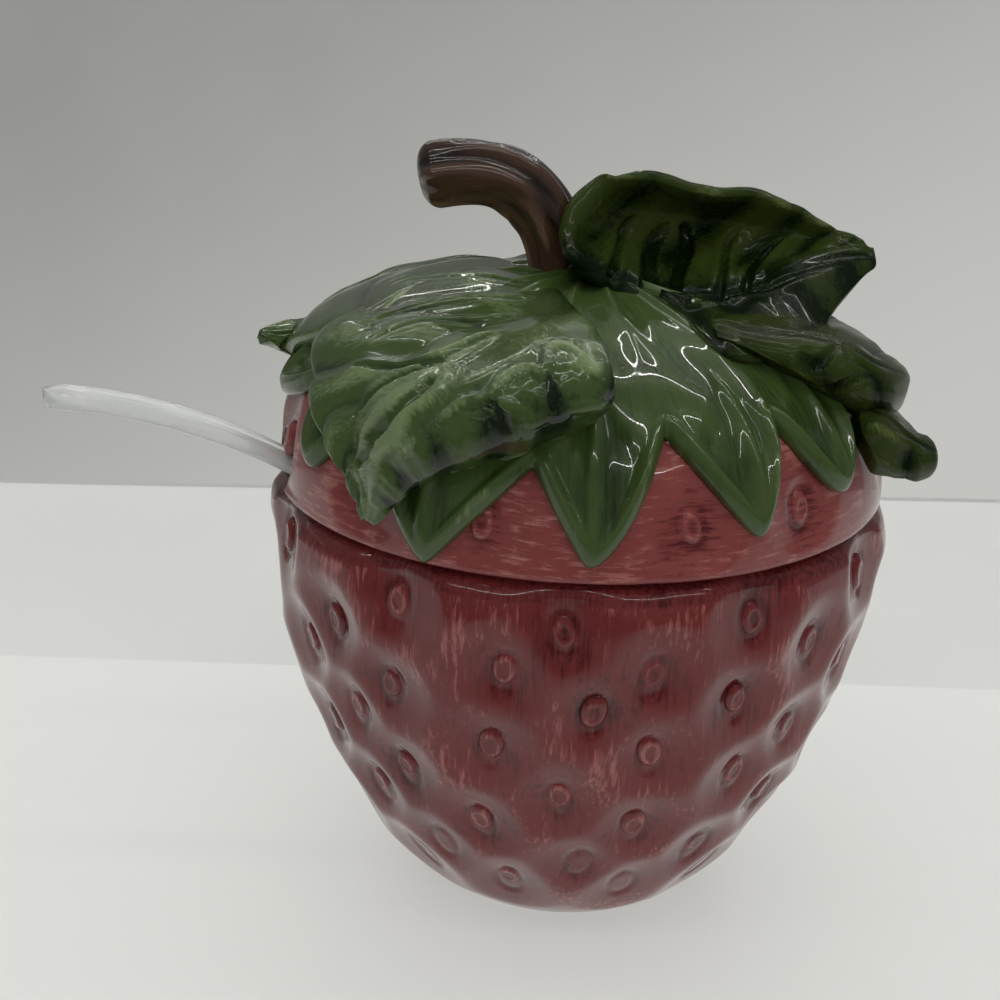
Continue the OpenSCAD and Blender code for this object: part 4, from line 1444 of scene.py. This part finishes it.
UPRIGHT_CREASES = (
    Crease(((41, 83), (50, 78), (57, 77), (63, 78), (72, 78), (85, 79)), 0.9, 1.0),
    Crease(((57, 77), (57, 66), (59, 50), (63, 36)), 0.8, 1.0),
    Crease(((41, 32), (42, 48), (40, 63), (39, 76)), 1.2, 1.1),
    Crease(((25, 77), (27, 55), (28, 40), (31, 28)), 1.0, 0.9),
    Crease(((35, 82), (34, 62), (35, 46), (38, 32)), 1.6, 1.0),
    Crease(((50, 77), (50, 62), (50, 46), (52, 32)), 0.8, 0.8),
)
RIGHT_UPPER_CREASES = (
    Crease(((29, 83), (37, 82), (51, 70), (66, 51)), 0.8, 0.9),
    Crease(((34, 61), (41, 61), (52, 38)), 0.8, 0.8),
    Crease(((53, 37), (64, 41), (82, 36)), 0.9, -0.6),
)
RIGHT_LOWER_CREASES = (
    Crease(((22, 54), (42, 51), (78, 44)), 0.8, -0.6),
    Crease(((27, 64), (43, 68), (70, 65)), 0.8, 0.6),
)


@dataclass
class Leaf:
    """One raised leaf: a thin sheet through a table of places, toothed and veined.

    The rows of the table run from the root to the tip, and each row from one edge to the other, in
    hundredths of the lid's radius and rise. The band is how wide and raised the midrib is, the tone
    how much paler or darker the whole leaf is, partly its own glaze and partly painted light and
    shade, tuck how far its second edge sinks, under how far that edge is darkened with painted shade,
    calm where the relief starts to fade towards the tip, far_share the relief that the second side
    keeps, and shaded whether the leaf takes the darker glaze that paints shade on it.
    """

    node: str
    places: Sequence[Sequence[Point]]
    midrib: float = 0.5
    teeth: float = 5
    slant: float = 0.4
    tooth_depth: float = 0.1
    band: float = 0.0
    vein: float = 0.7 * MM
    tuck: float = 0.0
    far_slant: float = 0.4
    tone: float = 0.0
    creases: Sequence[Crease] = ()
    under: float = 0.0
    calm: float = 0.72
    far_share: float = 1.0
    shaded: bool = False
    thickness: float = 2.6 * MM
    lift: float = 2.4 * MM
    tip_start: float = 0.955
    tip_length: float = 0.045
    step: float = 0.004
    rows: int = 130
    columns: int = 81

    def sheet(self, dome: Dome, u: Array, v: Array) -> Array:
        """The sheet's middle surface.

        Args:
            dome: The dome whose shares the table is written in.
            u: Places from root to tip, of shape (rows, columns).
            v: Places from edge to edge, of the same shape.

        Returns:
            Points of shape (rows, columns, 3).
        """
        table = np.array([[dome.share(p) for p in row] for row in self.places])
        iu, wu = spline_parts(u, table.shape[0])
        iv, wv = spline_parts(v, table.shape[1])
        picked = table[iu[..., :, None], iv[..., None, :]]
        return (picked * (wu[..., :, None] * wv[..., None, :])[..., None]).sum((-2, -3))

    def toothed(self, dome: Dome, f: Array, k: Array, t: Array) -> Tuple[Array, Array]:
        """The middle surface with its toothed edge and rounded tip.

        Args:
            dome: The dome that the leaf lies on.
            f: Places from root to tip, of shape (rows, 1).
            k: Places from edge to edge, of shape (1, columns).
            t: The same, from 0 at the midrib to 1 at either edge.

        Returns:
            Points of shape (rows, columns, 3), and the outward direction at each.
        """
        scallop = np.abs(np.sin(math.pi * (self.teeth * f))) ** 0.7
        cut = self.tooth_depth * (1 - scallop) * smooth(0.08, 0.2, f) * t**3
        tip = np.sqrt(1 - 0.97 * np.clip((f - self.tip_start) / self.tip_length, 0, 1) ** 2)
        v = self.midrib + (k - self.midrib) * (1 - cut) * tip
        slant = np.where(k < self.midrib, self.slant, self.far_slant)
        u = f + slant * t * (1 - f) * (1 - (1 - f) ** 4)
        middle = self.sheet(dome, u, v)
        step = self.step
        u_low, u_high, v_low, v_high = (np.clip(w, 0, 1) for w in (u - step, u + step, v - step, v + step))
        along = self.sheet(dome, u_high, v) - self.sheet(dome, u_low, v)
        across = self.sheet(dome, u, v_high) - self.sheet(dome, u, v_low)
        normal = unit(np.cross(unit(along), unit(across)))
        inwards = float((normal * (middle - np.array([0, 0, dome.base]))).sum(-1).mean()) < 0
        return middle, -normal if inwards else normal

    def pressed(self, dome: Dome, middle: Array) -> Array:
        """How far the creases move the sheet.

        Args:
            dome: The dome that the leaf lies on.
            middle: The sheet's points.

        Returns:
            The offset of each point; inwards is negative.
        """
        pressed = np.zeros(middle.shape[:2])
        for crease in self.creases:
            route = np.array(crease.route) / 100
            index, weight = spline_parts(np.linspace(0, 1, 60), len(route))
            way = (route[index] * weight[..., None]).sum(1)
            push = crease.push(self.sheet(dome, way[:, :1], way[:, 1:])[:, 0], middle)
            pressed = np.where(np.abs(push) > np.abs(pressed), push, pressed)
        return pressed

    def rings(self, dome: Dome) -> Tuple[Array, Array, Array]:
        """The closed skin of the leaf.

        Args:
            dome: The dome that it lies on.

        Returns:
            Rings of points from its root to its tip, and the ridge mark, which holds the glaze's pooling
            and painted light and shade, and the stroke coordinates of each.
        """
        f = np.linspace(0, 1, self.rows)[:, None]
        k = np.linspace(0, 1, self.columns)[None, :]
        t = np.where(k < self.midrib, (self.midrib - k) / self.midrib, (k - self.midrib) / (1 - self.midrib))
        middle, normal = self.toothed(dome, f, k, t)
        phase = self.teeth * f
        ends = np.sqrt(np.clip(1 - (2 * f - 1) ** 10, 0, 1))
        half = self.thickness / 2 * (0.3 + 0.7 * ends * np.sqrt(1 - (0.95 * np.abs(2 * k - 1)) ** 8))
        lobe = 1 - np.abs(2 * (phase % 1) - 1) ** 1.8
        side = smooth(0.12, 0.34, t)
        fine = np.cos(6 * math.pi * phase) * side
        lift = self.lift - self.tuck * smooth(0.7, 1, k)
        rib = self.band * (1 - smooth(0.14, 0.3, t)) - (1 - abs(self.band)) * np.exp(-((t / 0.07) ** 2))
        rough = ripple(middle, 17, 15 * MM)
        far = np.where(k < self.midrib, 1.0, self.far_share)
        offset = self.vein * (1.5 * far * (lobe - 0.6) * side + 1.1 * rib + 0.1 * fine + 0.5 * rough) * ends
        pressed = self.pressed(dome, middle)
        offset = (offset + pressed * ends) * (1 - 0.85 * smooth(self.calm, self.calm + 0.24, f))
        top = dome.above(middle + normal * (half + offset)[..., None], lift + 2 * half + offset)
        low = dome.above(middle - normal * (half - offset)[..., None], lift)
        # Glaze pools in the vein hollows and thins on the lobes and edges; tone paints the whole leaf paler or
        # darker, partly its own glaze and partly painted light and shade.
        crest = 0.45 + self.tone + 0.6 * (lobe - 0.6) * side + 0.35 * rib + 0.12 * rough
        crest = crest + 0.3 * smooth(0.88, 1, t)
        # The glaze pools in the creases; under darkens the second edge with painted shade.
        crest = np.clip(crest + 0.35 * pressed / MM - self.under * smooth(0.66, 0.8, k), 0, 1)
        rings = hold(np.concatenate([top, low[:, ::-1]], 1))
        width = np.linalg.norm(np.diff(middle, axis=1), axis=-1).sum(1)[:, None]
        across_leaf = 0.4 * width * (k - self.midrib)
        flow = np.stack([60 * MM * f * np.ones_like(k), across_leaf, np.zeros_like(across_leaf)], -1)
        flow = np.concatenate([flow, flow[:, ::-1] + 3 * MM], 1)
        return rings, np.concatenate([crest, crest[:, ::-1]], 1), flow

    def build(self, dome: Dome, finish: Finish) -> None:
        """Makes the leaf.

        Args:
            dome: The dome that it lies on.
            finish: Its material.
        """
        piece = mesh_from_rings(self.node + "_sheet", *self.rings(dome))
        place(piece, Body.LID, Slot.LEAF, finish, self.node)


# Negative tones, under and the shaded glaze paint shade on the leaves; the folded leaf's small positive tone is
# partly its own paler glaze and partly painted light.
LEAVES = (
    Leaf("leaf_folded", FOLDED_SHARES, teeth=6, slant=0.6, band=0.8, vein=0.6 * MM, far_slant=0.0, tone=0.08,
         creases=FOLDED_CREASES, under=0.4, far_share=0.45, rows=200, columns=151),
    Leaf("leaf_upright", UPRIGHT_SHARES, midrib=0.75, teeth=6, tooth_depth=0.03, tuck=3 * MM, tone=-0.2,
         creases=UPRIGHT_CREASES, under=0.25, calm=0.5, shaded=True, rows=200, columns=151),
    Leaf("leaf_back_left", BACK_LEFT_SHARES, teeth=3, slant=0.3, tooth_depth=0.04, vein=0.45 * MM,
         far_slant=0.3, tone=0.05),
    Leaf("leaf_right_upper", RIGHT_UPPER_SHARES, midrib=0.33, teeth=3, tooth_depth=0.04, band=0.3,
         vein=0.5 * MM, tuck=3 * MM, tone=-0.1, creases=RIGHT_UPPER_CREASES, calm=0.6, shaded=True),
    Leaf("leaf_right_lower", RIGHT_LOWER_SHARES, midrib=0.33, teeth=2, tooth_depth=0.03, band=0.3,
         vein=0.4 * MM, tuck=2 * MM, tone=-0.05, creases=RIGHT_LOWER_CREASES, calm=0.6, shaded=True),
    Leaf("leaf_back", BACK_SHARES, teeth=4),
)


@dataclass
class Stem:
    """The stem: a bent bar with long ridges that thickens towards its blunt end."""

    dome: Dome
    base_width: float = 9.2 * MM
    end_width: float = 11.4 * MM
    rise: float = 21.6 * MM
    reach: float = 20.6 * MM
    start_share: Tuple[float, float] = (-0.1, 0.075)
    bend: Sequence[Tuple[float, float]] = ((0, -0.06), (0.05, 0.5), (-0.3, 0.93), (-1, 0.8))
    sepal: float = 2.6 * MM
    end_bulge: float = 0.62
    end_hole: float = 0.12
    ridge_depth: float = 0.07
    fine_depth: float = 0.03
    ridges: int = 6
    end_rows: int = 23
    rows: int = 120
    columns: int = 128

    def build(self) -> None:
        """Makes the stem."""
        dome = self.dome
        x, y = (share * dome.radius for share in self.start_share)
        start = np.array([x, y, dome.base + dome.rise + self.sepal])
        mid = [start + np.array([x * self.reach, 0, z * self.rise]) for x, z in self.bend]
        f = np.linspace(0, 1, self.rows)
        centre, way = bezier(mid, f)
        r = blend(self.base_width, self.end_width, f**0.4) / 2
        tail = np.linspace(0, 1, self.end_rows + 1)[1:]
        bulge = np.sin(tail * math.pi / 2)
        centre = np.concatenate([centre, centre[-1] + way[-1] * (r[-1] * self.end_bulge * bulge)[:, None]])
        close = np.concatenate([np.ones(self.rows), np.cos(tail * math.pi / 2) ** 0.72])
        close[-1] = self.end_hole
        way = np.concatenate([way, np.repeat(way[-1:], len(tail), 0)])
        r = np.concatenate([r, np.full(len(tail), r[-1])])
        f = np.concatenate([f, np.ones(len(tail))])
        side = np.tile([0.0, 1.0, 0.0], (len(f), 1))
        up = np.cross(way, side)
        a = around(self.columns)[None, :]
        g = f[:, None]
        bend = 0.8 * np.sin(5 * g) + 0.5 * np.sin(13 * g + a)
        ridges = self.ridge_depth * np.cos(self.ridges * a + bend) + self.fine_depth * np.sin(2 * a + 9 * g)
        ridges = ridges + self.fine_depth * np.cos(9 * a - 1.5 * bend)
        q = (r * close)[:, None] * (1 + ridges * close[:, None] ** 0.5)
        level, rise = ((q * part)[..., None] for part in (np.cos(a), np.sin(a)))
        rings = centre[:, None] + side[:, None] * level + up[:, None] * rise
        # Ridges are paler where the glaze runs thin; 0.22 * sin(a) paints one side of the stem paler and the
        # opposite side darker: painted light and shade.
        marks = np.clip(0.42 + ridges * 3 + 0.22 * np.sin(a), 0, 1) * np.ones_like(q)
        flow = polar(r[:, None], a, 0.1 * self.reach * g * np.ones_like(a))
        piece = mesh_from_rings("stem_handle", rings, marks, flow)
        place(piece, Body.LID, Slot.STEM, STEM_GLAZE.build(), "stem")


@dataclass
class Spoon:
    """The clear spoon: an arched, ribbed handle and an oval bowl."""

    berry: Berry
    turn: float = 190
    handle_width: float = 8.6 * MM
    handle_thickness: float = 2.8 * MM
    handle_out: float = 44.4 * MM
    tip_rise: float = 14.3 * MM
    bowl_width: float = 24 * MM
    bowl_length: float = 32 * MM
    bowl_depth: float = 4.5 * MM
    bowl_wall: float = 1.8 * MM
    bowl_slope: float = 48
    seat_gap: float = 0.3 * MM
    tip_bend: Tuple[float, float] = (0.35, 0.04)
    rim_bend: Tuple[float, float] = (0.31, 0.56)
    bowl_reach: float = 0.13
    neck_share: float = 0.62
    neck_start: float = 0.31
    rib_depth: float = 0.42
    ribs: int = 4
    bend_rows: int = 60
    bowl_rows: int = 49
    half_points: int = 49

    def path(self) -> Tuple[Array, Array, Array]:
        """The centre line from the handle's tip to the bowl's tip.

        Returns:
            Points and directions as (distance from the axis, height), and the bowl's share.
        """
        berry, gap = self.berry, self.seat_gap
        cross = np.array([berry.mouth_radius + berry.lip_inner_round / 5,
                          berry.height + self.handle_thickness / 2 + gap])
        span = np.array([self.handle_out, self.tip_rise])
        tip = cross + span
        slope = math.radians(self.bowl_slope)
        bowl_way = np.array([-math.cos(slope), -math.sin(slope)])
        bowl_end = np.array([-self.bowl_reach * berry.width, berry.floor + self.bowl_wall / 2 + 2 * gap])
        bowl_start = bowl_end - self.bowl_length * bowl_way
        near_bowl = bowl_start - 0.3 * self.bowl_length * bowl_way
        outside = [tip, tip - span * self.tip_bend, cross + span * self.rim_bend, cross]
        inside = [cross, cross - span * self.rim_bend, near_bowl, bowl_start]
        f, g = np.linspace(0, 1, self.bend_rows), np.linspace(0, 1, self.bowl_rows + 1)[1:]
        bowl = bowl_start + self.bowl_length * g[:, None] * bowl_way
        (out, out_ways), (back, back_ways) = (bezier(curve, f) for curve in (outside, inside))
        points = np.concatenate([out, back[1:], bowl])
        ways = np.concatenate([out_ways, back_ways[1:], np.repeat(bowl_way[None], self.bowl_rows, 0)])
        return points, ways, np.concatenate([np.zeros(2 * self.bend_rows - 1), g])

    def half_width(self, run: Array, handle: Array, share: Array) -> Array:
        """Half the spoon's width along it.

        Args:
            run: Distances from the handle's tip.
            handle: Shares of the handle, 1 in the bowl.
            share: Shares of the bowl, 0 in the handle.

        Returns:
            The half width at each place.
        """
        neck = blend(1, self.neck_share, handle**2)
        nose = np.sqrt(np.clip(1 - (1 - np.clip(run / (self.handle_width * 0.5), 0, 1)) ** 2, 0.02, 1))
        oval = blend(self.neck_start * self.handle_width, self.bowl_width / 2, np.sin(math.pi * share**1.2))
        half = np.where(share > 0, oval, self.handle_width / 2 * neck * nose)
        end = np.clip((run[-1] - run) / (2 * MM), 0, 1)
        return half * np.sqrt(np.clip(1 - (1 - end) ** 2, 0.03, 1))

    def build(self) -> None:
        """Makes the spoon."""
        points, ways, share = self.path()
        count = len(points)
        handle = np.clip(np.arange(count) / (2 * self.bend_rows - 2), 0, 1)
        run = np.concatenate([[0], np.cumsum(np.linalg.norm(np.diff(points, axis=0), axis=1))])
        half = self.half_width(run, handle, share)
        thick = blend(self.handle_thickness, self.bowl_wall, np.clip(4 * share, 0, 1)) / 2
        sink = self.bowl_depth * np.sin(math.pi * share)
        x = np.linspace(-1, 1, self.half_points)[None, :]
        rib = 0.5 - 0.5 * np.cos(2 * math.pi * self.ribs * (x + 1) / 2)
        ribbed = ((share == 0) * smooth(3 * MM, 8 * MM, run) * (1 - smooth(0.55, 0.8, handle)))[:, None]
        edge = np.sqrt(np.clip(1 - np.abs(x) ** 7, 0.02, 1))
        bowl = -sink[:, None] * (1 - x**2)
        top = bowl + thick[:, None] * edge * (1 - self.rib_depth * ribbed * (1 - rib))
        low = bowl - thick[:, None] * edge
        heights = np.concatenate([top, low[:, ::-1]], 1)
        xs = np.concatenate([np.repeat(x, count, 0), np.repeat(x[:, ::-1], count, 0)], 1) * half[:, None]
        turn = math.radians(self.turn)
        out = np.array([math.cos(turn), math.sin(turn), 0])
        across = np.array([-math.sin(turn), math.cos(turn), 0])
        upright = np.array([0, 0, 1.0])
        normal = ways[:, 1:2] * out - ways[:, 0:1] * upright
        line = points[:, 0:1] * out + points[:, 1:2] * upright
        rings = line[:, None] - across * xs[..., None] + normal[:, None] * heights[..., None]
        piece = mesh_from_rings("spoon_clear", rings[:, ::-1])
        place(piece, Body.SPOON, Slot.PLASTIC, ClearPlastic().build(), "spoon")


@dataclass(frozen=True)
class Lamp:
    """A rectangular lamp that lights the pot but isn't mirrored by the glaze."""

    name: str
    at: Tuple[float, float, float]
    size: Tuple[float, float]
    power: float
    aim: Tuple[float, float, float]

    def build(self) -> None:
        """Hangs the lamp and turns it to its aim."""
        data = bpy.data.lights.new(self.name, "AREA")
        data.shape = "RECTANGLE"
        data.size, data.size_y = self.size
        data.energy = self.power
        made = linked(self.name, data)
        made.location = self.at
        made.visible_glossy = False
        made.rotation_euler = (Vector(self.aim) - Vector(self.at)).to_track_quat("-Z", "Y").to_euler()


@dataclass
class Studio:
    """Floor, wall, lamps and the camera of the photograph."""

    focal_px: float = 1900
    frame_px: float = 1000
    sensor: float = 36
    distance: float = 340 * MM
    rim_angle: float = 19.5
    rim_height: float = 78 * MM
    shift_x: float = -13.5 * MM
    pitch: float = 20.4
    roll: float = 2.0
    floor_half: float = 1.2
    floor_front: float = -0.6
    floor_split: float = 0.0795
    floor_far: Tuple[float, float] = (0.255, 0.151)
    shade_strip_ways: Tuple[float, float, float, float] = (0.1488, 0.2528, 0.2555, 0.1515)
    shade_strip_lift: float = 0.0002
    wall_half: float = 2.4
    wall_y: float = 1.7
    wall_z: Tuple[float, float] = (-1.3, 0.1)
    tubes: Sequence[Tuple[float, float]] = ((-0.46, 0.7), (-0.1, 0.8), (0.42, 0.78), (0.8, 0.74), (1.2, 0.7))
    tube_half: float = 0.6
    tube_wide: float = 0.0052
    tube_strength: float = 60
    lamps: Sequence[Lamp] = (
        Lamp("ceiling", (0.0, -0.2, 1.3), (2.0, 1.6), 5.2, (0, 0, 0.05)),
        Lamp("front_fill", (0.25, -1.3, 0.4), (1.6, 0.5), 7, (0, 0, 0.03)),
    )
    room_light: Tuple[float, float, float, float] = (0.18, 0.18, 0.18, 1)

    def camera(self) -> None:
        """Sets the camera where the photograph was taken from."""
        e, p, q = (math.radians(v) for v in (self.rim_angle, self.pitch, self.roll))
        back, over = self.distance * math.cos(e), self.distance * math.sin(e)
        eye = Vector((self.shift_x, -back, self.rim_height + over))
        ahead = Vector((0, math.cos(p), -math.sin(p)))
        right, up = turned(Vector((1, 0, 0)), Vector((0, math.sin(p), math.cos(p))), q)
        data = bpy.data.cameras.new("photo_camera")
        data.sensor_width = self.sensor
        data.lens = self.focal_px / self.frame_px * data.sensor_width
        made = linked("photo_camera", data)
        made.matrix_world = Matrix.Translation(eye) @ Matrix((right, up, -ahead)).transposed().to_4x4()
        bpy.context.scene.camera = made

    def sheet(self, name: str, corners: Sequence[Point], finish: Any) -> None:
        """A flat sheet of the studio.

        Args:
            name: Its name.
            corners: Its corners in order.
            finish: Its paint or its lights.
        """
        mesh = bpy.data.meshes.new(name)
        mesh.from_pydata([tuple(c) for c in corners], [], [(0, 1, 2, 3)])
        mesh.materials.append(finish.build())
        made = linked(name, mesh)

    def level(self, name: str, half: float, ways: Sequence[float], z: float, finish: Any) -> None:
        """A level sheet round the middle of X.

        Args:
            name: Its name.
            half: Half its length along X.
            ways: Y of its four corners, which run from left to right and back.
            z: Its height.
            finish: Its paint or its lights.
        """
        self.sheet(name, [(x, y, z) for x, y in zip((-half, half, half, -half), ways)], finish)

    def build(self) -> None:
        """Makes the studio."""
        self.camera()
        half, front, split = self.floor_half, self.floor_front, self.floor_split
        self.level("floor_front", half, (front, front, split, split), 0, FLOOR_WHITE)
        self.level("floor_back", half, (split, split, *self.floor_far), 0, FLOOR_PALE)
        # A thin darker strip along the floor's back edge, where it meets the wall: painted shade.
        self.level("floor_rim", half, self.shade_strip_ways, self.shade_strip_lift, FLOOR_SHADE)
        x, y, (low, high) = self.wall_half, self.wall_y, self.wall_z
        self.sheet("wall", ((-x, y, low), (x, y, low), (x, y, high), (-x, y, high)), WALL_GREY)
        for lamp in self.lamps:
            lamp.build()
        wide = self.tube_wide
        for number, (y, z) in enumerate(self.tubes):
            name = "tube_%d" % number
            ways = (y + wide, y + wide, y - wide, y - wide)
            self.level(name, self.tube_half, ways, z, Tube(name + "_light", self.tube_strength))
        world = bpy.data.worlds.new("room")
        world.use_nodes = True
        back = world.node_tree.nodes["Background"]
        back.inputs["Color"].default_value = self.room_light
        back.inputs["Strength"].default_value = 1.0
        bpy.context.scene.world = world
        bpy.context.scene.view_settings.view_transform = "Standard"


def main() -> None:
    """Builds every piece of the jam pot and its studio."""
    logging.basicConfig(level=logging.INFO, format="%(message)s")
    Studio().build()
    berry = Berry()
    berry.build()
    dome = Dome(berry)
    LidShell(dome).build()
    glaze = LEAF_GLAZE.build()
    Calyx(dome).build(glaze)
    # The darker leaf glaze paints shade on the leaves that take it.
    shaded = SHADED_LEAF_GLAZE.build()
    for leaf in LEAVES:
        leaf.build(dome, shaded if leaf.shaded else glaze)
    Stem(dome).build()
    Spoon(berry).build()


if __name__ == "__main__":
    main()
